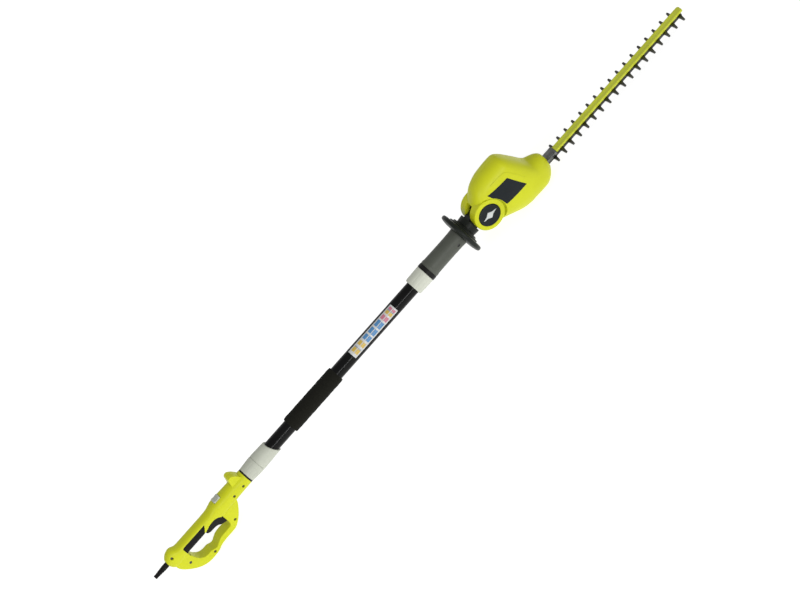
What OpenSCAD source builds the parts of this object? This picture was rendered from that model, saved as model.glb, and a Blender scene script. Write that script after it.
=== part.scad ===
// Electric pole hedge trimmer: rear D-handle, pole with two screw couplings,
// and a tilting head that drives two reciprocating blades.
// Frame: +X runs along the pole to the blade tip, +Y is the left side, +Z is up.
// The floor plane z = 0 touches the handle loop and the head housing.

/* [Overall] */
// Height of the pole axis above the floor
axis_z = 81; // [78:1:84]
// Length from the cord guard's tip to the blade tip
total_length = 1784; // [1784:2:1800]
/* [Pole] */
// Outer diameter of the pole tube
tube_d = 34; // [33.6:0.1:34.2]
// Wall of the pole tube
tube_wall = 2; // [1.8:0.1:2]
// Diameter of the foam grip
foam_d = 43; // [38:1:48]
// Length of the foam grip
foam_length = 160; // [120:5:180]
/* [Rear handle] */
// Wall of the handle shells
handle_wall = 3.2; // [3:0.1:3.4]
/* [Head] */
// Distance from mid-length to the tilt pivot
pivot_x = 242.4; // [242:0.1:242.8]
// Radius of the pivot ears
ear_r = 40; // [39:0.5:41]
// Half the width across the pivot ears
ear_half = 34; // [34:0.5:36]
// Wall of the head shells
head_wall = 3; // [2.6:0.1:3.2]
/* [Drive] */
// Throw of each eccentric, half of a blade's stroke
throw = 6; // [4:0.5:6]
/* [Blades] */
// Distance between neighbouring teeth
tooth_pitch = 25.5; // [24:0.1:25.5]
// Teeth on the right side of each blade
tooth_count = 18; // [12:1:18]
// Half the width across the tooth tips
tooth_reach = 29.3; // [26:0.1:30]
// Thickness of one blade
blade_t = 3; // [2:0.5:3]

/* [Hidden] */
$fn = 96;

// Lengths along the pole
half_length = total_length / 2;
tube_r = tube_d / 2;
tube_bore = tube_r - tube_wall;

// Spur gears: teeth, and the pitch diameter over the teeth
pinion_teeth = 9;
gear_teeth = 54;
gear_module = 1;

// ---------- Placing ----------

module at_axis() translate([0, 0, axis_z]) children();

// Turned parts: the child's Z axis becomes +X
module turned(x) translate([x, 0, 0]) rotate([0, 90, 0]) children();

module rod_x(x0, x1, r, y = 0, z = 0) translate([0, y, z]) turned(x0) cylinder(r = r, h = x1 - x0);

module cone_x(x0, x1, r0, r1) turned(x0) cylinder(r1 = r0, r2 = r1, h = x1 - x0);

module rod_y(x, z, y0, y1, r) translate([x, y0, z]) rotate([-90, 0, 0]) cylinder(r = r, h = y1 - y0);

module rod_z(x, z0, z1, r, y = 0) translate([x, y, z0]) cylinder(r = r, h = z1 - z0);

module ring_x(x0, x1, r, hole) difference() {
    rod_x(x0, x1, r);
    rod_x(x0 - 1, x1 + 1, hole);
}

module ring_z(x, z0, z1, r, hole) difference() {
    rod_z(x, z0, z1, r);
    rod_z(x, z0 - 1, z1 + 1, hole);
}

module block(x0, x1, y0, y1, z0, z1) translate([x0, y0, z0]) cube([x1 - x0, y1 - y0, z1 - z0]);

module both_sides() {
    children();
    mirror([0, 1, 0]) children();
}

// A side outline in X and Z, as thick as from y0 to y1
module side_slab(outline, y0, y1)
    translate([0, y1, 0]) rotate([90, 0, 0]) linear_extrude(y1 - y0) polygon(outline);

// A plan outline in X and Y, as thick as from z0 to z1
module plan_slab(outline, z0, z1) translate([0, 0, z0]) linear_extrude(z1 - z0) polygon(outline);

// ---------- Smooth curves and lofts ----------

// Catmull-Rom value between p[1] and p[2]
function blend4(p, u) = 0.5 * (2 * p[1] + (p[2] - p[0]) * u
    + (2 * p[0] - 5 * p[1] + 4 * p[2] - p[3]) * u * u
    + (3 * p[1] - p[0] - 3 * p[2] + p[3]) * u * u * u);

// A list of vectors refined to `steps` per span
function refine(list, steps) = let (last = len(list) - 1) [
    for (i = [0:last - 1], k = [0:steps - 1])
        blend4([list[max(i - 1, 0)], list[i], list[i + 1], list[min(i + 2, last)]], k / steps),
    list[last]
];

function power(v, p) = sign(v) * pow(abs(v), p);

// Points along each half of a lofted section
arc_points = 11;

// Point at angle a on a section across X. s = [x, half width, top, bottom, widest height, squareness]
function section_point(s, a, wall, floor) = let (
    up = a > 0 ? s[2] - wall - s[4] : s[4] - s[3] - wall,
    z = s[4] + up * power(sin(a), 2 / s[5])
) [s[0], (s[1] - wall) * power(cos(a), 2 / s[5]), max(z, floor + wall)];

function arc_angles() = [for (i = [0:arc_points - 1]) 180 * i / (arc_points - 1) - 90];

function reversed(list) = [for (i = [len(list) - 1:-1:0]) list[i]];

// Left half of a section: its outer arc from bottom to top, then back down inside,
// along the cavity if hollow and along the middle plane if solid
function half_ring(s, wall, floor, hollow) = let (
    outer = [for (a = arc_angles()) section_point(s, a, 0, floor)],
    inner = [for (a = reversed(arc_angles())) section_point(s, a, wall, floor)],
    top = inner[0].z,
    low = inner[arc_points - 1].z,
    flat = [for (i = [0:arc_points - 1]) [s[0], 0, top + (low - top) * i / (arc_points - 1)]]
) [for (q = concat(outer, hollow ? inner : flat)) q + [0, parting_gap, 0]];

// Left half of a casing whose cavity runs from x0 to x1
module half_casing(stations, wall, floor, x0, x1) {
    solid_rear = [for (s = stations) if (s[0] < x0) half_ring(s, wall, floor, false)];
    solid_front = [for (s = stations) if (s[0] > x1) half_ring(s, wall, floor, false)];
    middle = [for (s = stations) if (s[0] > x0 && s[0] < x1) half_ring(s, wall, floor, true)];
    strip_loft(concat(
        solid_rear,
        [half_ring(station_at(stations, x0), wall, floor, false)],
        [half_ring(station_at(stations, x0 + 0.2), wall, floor, true)],
        middle,
        [half_ring(station_at(stations, x1 - 0.2), wall, floor, true)],
        [half_ring(station_at(stations, x1), wall, floor, false)],
        solid_front
    ));
}

// Station at any x, straight between its neighbours
function station_at(stations, x) = let (
    i = max([for (k = [0:len(stations) - 2]) if (stations[k][0] <= x) k]),
    a = stations[i],
    b = stations[i + 1]
) a + (b - a) * (x - a[0]) / (b[0] - a[0]);

// Half width of a lofted body at x and z
function half_width(stations, x, z) = let (
    s = station_at(stations, x),
    t = z > s[4] ? (z - s[4]) / (s[2] - s[4]) : (s[4] - z) / (s[4] - s[3])
) s[1] * pow(1 - pow(t, s[5]), 1 / s[5]);

// Closed solid through rings of equally many points
module loft(rings) {
    n = len(rings[0]);
    last = len(rings) - 1;
    points = [for (ring = rings) each ring];
    sides = [
        for (k = [0:last - 1], i = [0:n - 1])
            let (a = k * n + i, b = k * n + (i + 1) % n)
            each [[a, b, b + n], [a, b + n, a + n]]
    ];
    caps = [[for (i = [n - 1:-1:0]) i], [for (i = [0:n - 1]) last * n + i]];
    polyhedron(points, concat(sides, caps));
}

// Closed solid through rings that each run out along one arc and back along another
// of as many points; each end is closed by a strip between the two arcs
module strip_loft(rings) {
    n = len(rings[0]);
    last = len(rings) - 1;
    points = [for (ring = rings) each ring];
    sides = [
        for (k = [0:last - 1], i = [0:n - 1])
            let (a = k * n + i, b = k * n + (i + 1) % n)
            each [[a, b + n, b], [a, a + n, b + n]]
    ];
    ends = [
        for (i = [0:n / 2 - 2])
            let (j = n - 1 - i, e = last * n)
            each i < n / 4
                ? [[i, i + 1, j], [i + 1, j - 1, j], [e + i + 1, e + i, e + j], [e + i + 1, e + j, e + j - 1]]
                : [[i, i + 1, j - 1], [i, j - 1, j], [e + i + 1, e + i, e + j - 1], [e + i, e + j, e + j - 1]]
    ];
    polyhedron(points, concat(sides, ends));
}

// Round wire along a list of 3-D points
module wire(route, r, sides) loft([
    for (i = [0:len(route) - 1])
        let (
            d = route[min(i + 1, len(route) - 1)] - route[max(i - 1, 0)],
            w = d / norm(d),
            ref = abs(w.y) < 0.9 ? [0, 1, 0] : [1, 0, 0],
            u = cross(ref, w) / norm(cross(ref, w)),
            v = cross(w, u)
        )
        [for (k = [0:sides - 1]) route[i] + r * (cos(360 * k / sides) * u + sin(360 * k / sides) * v)]
]);

// Coil spring that rises along Z from the origin
module coil(r, wire_r, turns, height) {
    steps = 10;
    wire([
        for (i = [0:turns * steps])
            [r * cos(360 * i / steps), r * sin(360 * i / steps), height * i / (turns * steps)]
    ], wire_r, 6);
}

// One side of the middle plane: side is 1 on the left and -1 on the right
parting_gap = 0.05;
module half_space(side) translate([-1000, side > 0 ? parting_gap : -200 - parting_gap, -200])
    cube([2000, 200, 400]);

// The child is drawn for the left side; side -1 mirrors it to the right
module on_side(side) mirror([0, side > 0 ? 0 : 1, 0]) children();

// ---------- Rear handle ----------

handle_rear = -849;
handle_front = -583.5;
floor_level = -axis_z;

// x, half width, top, bottom, widest height, squareness
grip_section = [17, 13.6, -16.5, -1.5, 2.8];
grip_stations = refine([
    [handle_rear, 10.1, 9.1, -11.1, -1, 2],
    [-845, 14, 14, -19, -2, 2.2],
    [-836, 18, 19.5, -23, -1, 2.4],
    [-822, 19, 22, -24, 0, 2.4],
    concat([-808], grip_section + [0.4, 3, -2.5, 0, -0.3]),
    concat([-800], grip_section),
    concat([-790], grip_section),
    concat([-730], grip_section),
    concat([-720], grip_section),
    [-697, 18.5, 16, -19, -1.5, 2.7],
    [-675, 20.5, 20, -21, -1, 2.6],
    [-640, 20.5, 21, -20.5, 0, 2.4],
    [-610, 20.2, 21, -20, 0.4, 2.2],
    [handle_front, 20, 20, -20, 0, 2]
], 1);

// Outer edge of the hand loop from the rear leg round to the front leg
loop_outer = refine([
    [-843, -17], [-838, -31], [-828, -47], [-814, -63], [-798, -74.5], [-782, -80.4], [-768, floor_level],
    [-756, floor_level], [-747, -78.5], [-738, -74.5], [-727, -72], [-712, -71], [-692, -71],
    [-680, -68.5], [-667, -60], [-655, -49], [-645, -37], [-636, -24], [-632, -17]
], 1);
// Inner edge of the loop, back from the front leg
loop_inner = refine([
    [-683.5, -17], [-683.5, -38], [-684.5, -50], [-691, -55], [-712, -55], [-725, -56.5],
    [-736, -61.5], [-745, -66.5], [-753, -65], [-760, -61.5], [-774, -61], [-785, -56.5],
    [-793, -46], [-797, -33], [-800, -17]
], 2);

// Layers of the loop's rounded side: how far out they reach and how far their edge is drawn in
loop_layers = [[11, 0], [13.5, 1.2], [15, 3.2]];

// Raised stop in front of the hand on top of the barrel
hand_stop = [[-613, 18.2], [-613, 37], [-610.5, 40], [-604, 41], [-598, 37], [-586.5, 19.4], [-586.5, 17.7]];
stop_half = 13;

// x, z and head depth of each handle screw
handle_screw_places = [
    [-832, 12, 14], [-812, -38, 14.5], [-757, -71.5, 12.5],
    [-670.5, -52, 12], [-630, 0, 17.5], [-599, 0, 17]
];

insert_rear = -800;
trigger_slot = [-740, -681];
trigger_slot_top = -8.4;
trigger_slot_half = 12.6;
lock_off_x = -663;
lock_off_half_x = 9.8;
lock_off_half_y = 8.5;
lock_off_face = 24.4;

module loop_slab(inset, y0, y1) translate([0, y1, 0]) rotate([90, 0, 0]) linear_extrude(y1 - y0)
    offset(delta = -inset) polygon(concat(loop_outer, loop_inner));

insert_depth = 1.8;
insert_play = 0.1;
insert_top = 7;
insert_points = 21;

// The grip section cut off at the insert's top edge, `depth` under the surface
function insert_arc(depth) = let (
    s = concat([0], grip_section),
    end = asin(pow((insert_top - s[4]) / (s[2] - depth - s[4]), s[5] / 2))
) [
    for (i = [0:insert_points - 1])
        let (
            a = -180 - end + (180 + 2 * end) * i / (insert_points - 1),
            q = section_point(s, a > -180 ? a : a + 360, depth, -100)
        )
        [q.y, q.z]
];

// Front edge of the insert slopes back from its top to its underside
function insert_front(z, play) = -744 + play + (z + 17) * 0.8;

// Sleeve under and round the sides of the grip
module insert_sleeve(outer_depth, inner_depth, play) {
    ring = concat(insert_arc(outer_depth), reversed(insert_arc(inner_depth)));
    strip_loft([
        for (k = [0, 1])
            [for (q = ring) [k == 0 ? insert_rear - play : insert_front(q[1], play), q[0], q[1] + play]]
    ]);
}

module handle_shell(side) color("yellowgreen") at_axis() on_side(side) difference() {
    union() {
        strip_loft([for (s = grip_stations) half_ring(s, handle_wall, -60, true)]);
        for (l = loop_layers) loop_slab(l[1], parting_gap, l[0]);
        side_slab(hand_stop, parting_gap, stop_half);
        for (s = handle_screw_places) rod_y(s[0], s[1], parting_gap, s[2] - 0.5, 3.8);
        rod_y(trigger_pivot[0], trigger_pivot[1], 12.4, 17, 4.5);
    }
    difference() {
        loop_slab(handle_wall, -1, 10);
        for (s = handle_screw_places) rod_y(s[0], s[1], -5, 20, 3.8);
    }
    insert_sleeve(-3, insert_depth + insert_play, insert_play);
    // Trigger slot and lock-off window
    block(trigger_slot[0], trigger_slot[1], -trigger_slot_half, trigger_slot_half, -45, trigger_slot_top);
    block(lock_off_x - lock_off_half_x - 0.4, lock_off_x + lock_off_half_x + 0.4,
        -lock_off_half_y - 0.4, lock_off_half_y + 0.4, 5, 40);
    rod_y(trigger_pivot[0], trigger_pivot[1], -pin_reach, pin_reach, 2);
    for (s = handle_screw_places) {
        if (side < 0) rod_y(s[0], s[1], s[2] - 2.4, 40, 3.6);
        rod_y(s[0], s[1], -1, side < 0 ? s[2] : 13, 1.7);
    }
}

module cord_guard() color("black") at_axis() difference() {
    union() {
        rod_x(-868, handle_rear + 9, 6.7, 0, -1);
        translate([0, 0, -1]) cone_x(-half_length, -868, 4.85, 6.7);
        rod_x(handle_rear + 8.4, handle_rear + 11, 9, 0, -1);
        for (x = [-884:5:-869]) translate([0, 0, -1]) rod_x(x, x + 2.4, 6.5);
    }
    rod_x(-half_length - 1, handle_rear + 12, 3.6, 0, -1);
}

clamp_x = -819.5;
clamp_screw_y = [-7, 7];

module cord_clamp() color("dimgray") at_axis() difference() {
    block(-824, -815, -10, 10, -9, -2);
    rod_x(-825, -814, 3.6, 0, -1);
    for (y = clamp_screw_y) rod_z(clamp_x, -12, 0, 1.5, y);
}

module grip_insert() color("black") at_axis() insert_sleeve(0, insert_depth, 0);

// The trigger swings about a cross pin at its front end
trigger_pivot = [-688, -9];
trigger_half = 12;
pin_reach = 15;
trigger_outline = [
    [-736, -16.5], [-735.5, -22], [-728, -25], [-714, -25.5], [-706, -27.5],
    [-700, -33], [-694, -36.5], [-688, -38.5], [-683, -39], [-682, -36],
    [-682, -9], [-685, -5.5], [-690, -5], [-694, -8.5]
];

module trigger() color("black") at_axis() difference() {
    side_slab(trigger_outline, -trigger_half, trigger_half);
    rod_y(trigger_pivot[0], trigger_pivot[1], -20, 20, 2.06);
    // Pocket of the return spring
    rod_y(trigger_pivot[0], trigger_pivot[1], 7.8, 13, 4.4);
}

module trigger_pin() color("silver") at_axis()
    rod_y(trigger_pivot[0], trigger_pivot[1], 0.1 - pin_reach, pin_reach - 0.1, 2);

module trigger_spring() color("silver") at_axis()
    translate([trigger_pivot[0], 8.2, trigger_pivot[1]]) rotate([-90, 0, 0]) coil(3.2, 0.45, 3, 3.6);

module lock_off_button() color("lightgray") at_axis() translate([lock_off_x, 0, 0]) difference() {
    union() {
        block(-lock_off_half_x, lock_off_half_x, -lock_off_half_y, lock_off_half_y, 12, lock_off_face);
        block(-12, 12, -10.4, 10.4, 12, 14.6);
        rod_z(0, 6, 13, 3);
    }
    // Finger dish
    rod_y(0, lock_off_face + 18.6, -20, 20, 20);
}

module lock_off_spring() color("silver") at_axis()
    translate([lock_off_x, 0, 1.5]) coil(4.6, 0.5, 5, 9.6);

module switch_unit() color("dimgray") at_axis() union() {
    block(-735, -702, -8, 8, -4.5, 8.5);
    block(-731, -724, -4, 4, -8.6, -4);
}

module terminal_block() color("ivory") at_axis() difference() {
    block(-790, -766, -8, 8, -6, 4);
    for (y = [-5, 0, 5]) {
        rod_x(-791, -765, 1.6, y, -2);
        for (x = [-785, -771]) rod_z(x, 0, 5, 1.5, y);
    }
}

module suppressor() color("goldenrod") at_axis() rod_x(-652, -638, 4.5, -9, -3);

handle_cable_route = [
    [-701.5, 0, 6], [-694, 0, 6], [-687, 1, 4.5], [-680, 2, -1], [-674, 2, -7], [-667, 1, -10.2],
    [-656, 0, -11], [-640, 0, -11], [-620, 0, -11], [-600, 0, -10.5], [-590, 0, -9], [-583, 0, -9]
];

module handle_cable() color("black") at_axis() wire(handle_cable_route, 2.6, 10);

// Pan head screw from the right side
module side_screw(x, z, depth, reach, head_r = 3.3) {
    rod_y(x, z, -depth, -depth + 2.2, head_r);
    rod_y(x, z, -depth + 1, reach, 1.6);
}

module handle_screws() color("silver") at_axis() {
    for (s = handle_screw_places) side_screw(s[0], s[1], s[2], 12);
    for (y = clamp_screw_y) {
        rod_z(clamp_x, -11.5, -1, 1.4, y);
        rod_z(clamp_x, -2, -0.4, 2.6, y);
    }
}

// ---------- Pole and couplings ----------

flange_end = -576;
lower_nut_end = -539;
upper_nut_start = 1.4;
upper_nut_end = 44.6;
neck_start = 55;
thread_r = 18.4;
thread_play = 0.3;
plug_r = 12;
core_places = [[5, 0], [-3, 5], [-3, -5]];

module handle_spigot() color("black") at_axis() difference() {
    union() {
        rod_x(handle_front - 8.5, handle_front, 16);
        rod_x(handle_front, flange_end, 20);
        rod_x(flange_end, -552, tube_bore - 0.3);
    }
    rod_x(-600, -540, plug_r + 0.1);
}

// Round contact block with three pins or three sockets; a flange centres it in the tube
module contact_block(x0, x1, pins, flange_x) {
    difference() {
        union() {
            rod_x(x0, x1, plug_r);
            if (flange_x) rod_x(flange_x, flange_x + 8, tube_bore);
        }
        if (!pins) for (c = core_places) rod_x(x0 - 1, x0 + 16, 1.6, c[1], c[0]);
    }
    if (pins) for (c = core_places) rod_x(x1 - 1, x1 + 12, 1.4, c[1], c[0]);
}

module contact_plugs() color("dimgray") at_axis() {
    contact_block(-583, -562, true, false);
    contact_block(8, 30, true, 10);
}

module contact_sockets() color("dimgray") at_axis() {
    contact_block(-561, -541, false, -550);
    contact_block(31, 52, false, false);
}

module lower_nut() color("lightgray") at_axis() difference() {
    union() {
        cone_x(flange_end + 0.3, lower_nut_end - 6, 20, 22.5);
        rod_x(lower_nut_end - 6, lower_nut_end - 0.3, 22.5);
    }
    rod_x(flange_end - 1, lower_nut_end + 1, thread_r + thread_play);
}

socket_slope = 25;

module lower_socket() color("lightgray") at_axis() difference() {
    union() {
        rod_x(flange_end + 1, lower_nut_end, thread_r);
        cone_x(lower_nut_end, -476, 22.5, 20.2);
    }
    rod_x(flange_end, -470, tube_r);
    // Slanted front end, longer below the tube
    translate([-487.5, 0, 0]) rotate([0, -socket_slope, 0]) translate([0, -40, -60]) cube([60, 80, 120]);
}

module pole_tube() color([0.08, 0.08, 0.09]) at_axis() ring_x(flange_end + 1.5, 28, tube_r, tube_bore);

module pole_cable() color("black") at_axis() rod_x(-541, 8, 3.4);

foam_start = -424;

module foam_grip() color([0.1, 0.1, 0.09]) at_axis()
    ring_x(foam_start, foam_start + foam_length, foam_d / 2, tube_r);

label_start = -208;
label_length = 146;
label_arc = 84;
label_centre = 225;

module pole_label() color("white") at_axis() turned(label_start)
    rotate([0, 0, label_centre - label_arc / 2]) rotate_extrude(angle = label_arc)
        translate([tube_r, 0]) square([0.25, label_length]);

module upper_nut() color("lightgray") at_axis() difference() {
    cone_x(upper_nut_start, upper_nut_end - 0.3, 23, 24);
    rod_x(upper_nut_start - 1, 30, tube_r + thread_play);
    rod_x(29, upper_nut_end + 1, thread_r + 2 + thread_play);
}

module neck_collar() color([0.15, 0.15, 0.15]) at_axis() difference() {
    union() {
        rod_x(upper_nut_end, neck_start, 24.5);
        rod_x(31, upper_nut_end + 1, thread_r + 2);
    }
    rod_x(30, neck_start + 1, plug_r + 0.1);
}

// ---------- Neck ----------

neck_r = 23.5;
guard_start = 160;
guard_end = 175;
cone_end = 183;
neck_end = 200;
neck_bore = 15.2;
neck_screw_places = [[143, 0, 21]];

module neck_shell(side) color([0.36, 0.37, 0.34]) at_axis() difference() {
    intersection() {
        union() {
            rod_x(neck_start + 0.1, guard_start - 0.2, neck_r);
            rod_x(guard_start - 1, cone_end + 0.5, 18);
            cone_x(cone_end + 0.2, neck_end, 26, 27);
        }
        half_space(side);
    }
    rod_x(neck_start + 6, neck_end - 2, neck_bore);
    rod_x(neck_start - 1, neck_end, 8.5);
    block(neck_end - 3, neck_end + 1, -11.2, 11.2, -17.5, 17.5);
    for (s = neck_screw_places) {
        rod_y(s[0], s[1], -30, -s[2] + 2.4, 3.6);
        rod_y(s[0], s[1], -s[2], 19.5, 1.7);
    }
}

module neck_screws() color("silver") at_axis() for (s = neck_screw_places) side_screw(s[0], s[1], s[2], 19);

guard_r = 58;

// Rim of the guard, cut in a half section: distance from the axis, then along it
guard_profile = [
    [18.1, guard_start], [40, guard_start], [52, guard_start + 2], [56.5, guard_start + 4],
    [guard_r, guard_start + 7], [guard_r, guard_start + 10], [56.5, guard_start + 13],
    [52, guard_start + 14.5], [41, guard_end], [40, guard_end + 3], [34, guard_end + 4],
    [33, guard_end + 7], [30, cone_end], [18.1, cone_end]
];

module hand_guard() color([0.12, 0.12, 0.12]) at_axis()
    rotate([0, 90, 0]) rotate_extrude() polygon(guard_profile);

tongue_half = 10.7;
tongue_height = 17;
tongue_r = 28;
pin_r = 6;
bracket_cable_z = -9.8;

module tilt_bracket() color([0.2, 0.2, 0.21]) at_axis() difference() {
    union() {
        rod_x(130, neck_end - 2.5, 15);
        block(neck_end - 3, pivot_x, -tongue_half, tongue_half, -tongue_height, tongue_height);
        rod_y(pivot_x, 0, -tongue_half, tongue_half, tongue_r);
    }
    rod_y(pivot_x, 0, -20, 20, pin_r + 0.05);
    rod_x(120, 300, 2.7, 0, bracket_cable_z);
    rod_y(neck_screw_places[0][0], neck_screw_places[0][1], -20, 20, 1.7);
    // Detent notches, one for each tilt position
    for (a = [-tilt_limit:15:tilt_limit]) translate([pivot_x, 0, 0]) rotate([0, a, 0])
        rod_y(-tongue_r + 4, 0, -20, -tongue_half + 2.5, 2.2);
}

neck_cable_route = [
    [52.2, 0, -4.5], [60, 0, -5], [72, 0, -7], [86, 0, -9.3], [100, 0, bracket_cable_z],
    [150, 0, bracket_cable_z], [200, 0, bracket_cable_z], [268, 0, bracket_cable_z]
];

module neck_cable() color("black") at_axis() wire(neck_cable_route, 2.5, 10);

// ---------- Head ----------

// x, half width, top, bottom, widest height, squareness
head_stations = refine([
    [226, 30, 33, -33, 0, 2.3],
    [240, 34.5, 48, -40, 0, 2.4],
    [255, 38, 62, -49, 1, 2.5],
    [272, 41, 71, -58, 1, 2.5],
    [290, 43.5, 76, -68, 0, 2.5],
    [310, 45, 78, -78, -4, 2.5],
    [330, 45, 78.5, -82.2, -8, 2.6],
    [347, 44, 77, -82.8, -13, 2.6],
    [358, 43, 66, -83, -20, 2.6],
    [368, 41.5, 48, -83, -28, 2.6],
    [378, 39.5, 27, -83, -36, 2.6],
    [386, 37.5, 9, -83, -41, 2.6],
    [393, 35, -1, -82.5, -43, 2.5],
    [403, 31, -5, -78.5, -43, 2.4],
    [413, 25.5, -9, -71.5, -41, 2.3],
    [421, 18.5, -14.5, -62, -39, 2.2],
    [426, 10, -23, -50, -37, 2]
], 1);

cavity_rear = 276;
recess_r = 29;
recess_floor = 25;
slot_half = 11.3;
slot_r = 30;
tilt_limit = 45;
slot_reach = 60;
motor_x = 318;
crank_x = motor_x + gear_module * (pinion_teeth + gear_teeth) / 2;

head_screw_places = [
    [284, 58, 29], [355, 54, 27], [398, -21, 28], [404, -66, 23], [289, -56, 27.5], [262, 46, 29.5]
];

// Left half of the housing with its pivot ear, bosses and motor shelf
module head_half() {
    half_casing(head_stations, head_wall, floor_level, cavity_rear, 421);
    rod_y(pivot_x, 0, parting_gap, ear_half - 3, ear_r);
    translate([pivot_x, ear_half - 3, 0]) rotate([-90, 0, 0]) cylinder(r1 = ear_r, r2 = ear_r - 2.4, h = 3);
    for (s = head_screw_places) rod_y(s[0], s[1], parting_gap, s[2] - 0.5, 4.5);
    difference() {
        block(285, 350, 5, 41.2, 14, 17);
        rod_z(motor_x, 13, 18, stator_r + 0.2);
    }
}

// Where the tongue's upper edge lies at full tilt, so far from the pivot
function tongue_edge(d) = let (h = tongue_height + 0.4)
    [d * cos(tilt_limit) - h * sin(tilt_limit), d * sin(tilt_limit) + h * cos(tilt_limit)];

// Room for the bracket's tongue over the whole tilt
module tongue_slot() {
    rod_y(pivot_x, 0, -slot_half, slot_half, slot_r);
    near = tongue_edge(23);
    far = tongue_edge(slot_reach);
    side_slab([
        [pivot_x, 0],
        [pivot_x - near.x, near.y],
        [pivot_x - far.x, far.y],
        [pivot_x - slot_reach, far.y],
        [pivot_x - slot_reach, -far.y],
        [pivot_x - far.x, -far.y],
        [pivot_x - near.x, -near.y]
    ], -slot_half, slot_half);
}

module head_shell(side) color("yellowgreen") at_axis() on_side(side) difference() {
    head_half();
    tongue_slot();
    rod_y(pivot_x, 0, -40, 40, pin_r);
    rod_y(pivot_x, 0, recess_floor, 40, recess_r);
    // Spring pocket round the pin, under the button only
    if (side < 0) difference() {
        rod_y(pivot_x, 0, 14.5, recess_floor + 1, 13.5);
        rod_y(pivot_x, 0, 14, recess_floor + 2, 7.6);
    }
    // Lead hole and channel to the motor room, and the blade opening
    rod_x(265, cavity_rear + 5, 4.5, 0, bracket_cable_z);
    block(cavity_rear + 0.1, 284, -3.4, 3.4, -13.5, 32);
    block(410, 440, -14.6, 14.6, -57.4, -38.4);
    for (s = head_screw_places) {
        if (side > 0) rod_y(s[0], s[1], s[2] - 2.4, 60, 3.6);
        rod_y(s[0], s[1], -1, side > 0 ? s[2] : 13, 1.7);
    }
}

module head_screws() color("silver") at_axis() mirror([0, 1, 0])
    for (s = head_screw_places) side_screw(s[0], s[1], s[2], 12);

module tilt_pin() color("silver") at_axis() rod_y(pivot_x, 0, -17.4, 24.6, pin_r);

button_face = -35.6;
button_back = -30.6;

module tilt_button() color([0.2, 0.22, 0.21]) at_axis() union() {
    rod_y(pivot_x, 0, button_face + 1, button_back, recess_r - 0.5);
    translate([pivot_x, button_face, 0]) rotate([-90, 0, 0])
        cylinder(r1 = recess_r - 2, r2 = recess_r - 0.5, h = 1);
    rod_y(pivot_x, 0, button_back - 1, -23, pin_r - 0.06);
}

module tilt_button_spring() color("silver") at_axis()
    translate([pivot_x, -29.6, 0]) rotate([-90, 0, 0]) coil(10.5, 0.8, 4, 13.8);

module pivot_cap() color([0.2, 0.22, 0.21]) at_axis() union() {
    rod_y(pivot_x, 0, recess_floor + 0.2, -button_face - 1, recess_r - 0.2);
    translate([pivot_x, -button_face - 1, 0]) rotate([-90, 0, 0])
        cylinder(r1 = recess_r - 0.2, r2 = recess_r - 2, h = 1);
}

// Plain side plate: its corners in X and Z, with the rear edge cut round the pivot
badge_low = [[288.5, -9], [352.5, -12]];
badge_high = [[270, 44], [331, 41]];
badge_clear = 46.5;
badge_steps = 6;
// How far the plate's back and face stand off the housing's curve
badge_low_lift = 0.45;
badge_t = 1.1;

function mix(a, b, t) = a + (b - a) * t;

function badge_point(u, v, lift) = let (
    low = mix(badge_low[0], badge_low[1], u),
    high = mix(badge_high[0], badge_high[1], u),
    q = mix(low, high, v),
    rear = pivot_x + sqrt(badge_clear * badge_clear - q[1] * q[1]),
    x = max(q[0], rear + u)
) [x, half_width(head_stations, x, q[1]) + lift, q[1]];

module badges() color([0.1, 0.1, 0.11]) at_axis() both_sides() strip_loft([
    for (i = [0:badge_steps]) concat(
        [for (j = [0:badge_steps]) badge_point(i / badge_steps, j / badge_steps, badge_t)],
        [for (j = [badge_steps:-1:0]) badge_point(i / badge_steps, j / badge_steps, badge_low_lift)]
    )
]);

motor_lead_route = [
    [274.5, 0, bracket_cable_z], [277.5, 0, -9], [280.5, 0, -4], [281.3, 0, 4], [281.3, 0, 16],
    [281.3, 0, 28], [282, 0, 38], [284.5, 0, 44.5], [290, 0, 47.5], [297, 0, 48]
];

module motor_lead() color("black") at_axis() wire(motor_lead_route, 2.4, 10);

// ---------- Motor ----------

stator_low = -5;
stator_high = 35;
stator_r = 31;
armature_r = 18.5;
shaft_r = 4;
commutator_r = 11;

module stator() color("gray") at_axis() difference() {
    rod_z(motor_x, stator_low, stator_high, stator_r);
    rod_z(motor_x, stator_low - 1, stator_high + 1, armature_r + 0.8);
    // Flats between the two poles make room for the coils
    for (y = [-1, 1]) translate([motor_x, y * 21, 0])
        cube([22, 8, 100], center = true);
}

module field_windings() color("peru") at_axis() {
    ring_z(motor_x, stator_high + 0.1, 40, 28, 20);
    ring_z(motor_x, -9.4, stator_low - 0.1, 28, 20);
}

module armature() color("gray") at_axis() {
    difference() {
        union() {
            rod_z(motor_x, -3, 33, armature_r);
            rod_z(motor_x, gear_high + 0.7, 66, shaft_r);
            rod_z(motor_x, -41, 0, shaft_r - 1.8);
            rod_z(motor_x, -7.5, -3, 15);
            rod_z(motor_x, 33, 37.5, 15);
            rod_z(motor_x, 41, 54, commutator_r);
        }
        // Twelve winding slots
        for (a = [0:30:330]) translate([motor_x, 0, 0]) rotate([0, 0, a]) translate([armature_r - 2.5, -1.1, -4])
            cube([5, 2.2, 38]);
    }
}

fan_blades = 12;
fan_r = 28.5;

module cooling_fan() color("white") at_axis() difference() {
    union() {
        rod_z(motor_x, -12, -10.2, fan_r);
        rod_z(motor_x, -19, -10.2, 8);
        for (i = [0:fan_blades - 1]) translate([motor_x, 0, 0]) rotate([0, 0, 360 * i / fan_blades])
            block(7.5, fan_r - 0.5, -0.8, 0.8, -19, -11);
    }
    rod_z(motor_x, -20, -9, shaft_r);
}

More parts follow.
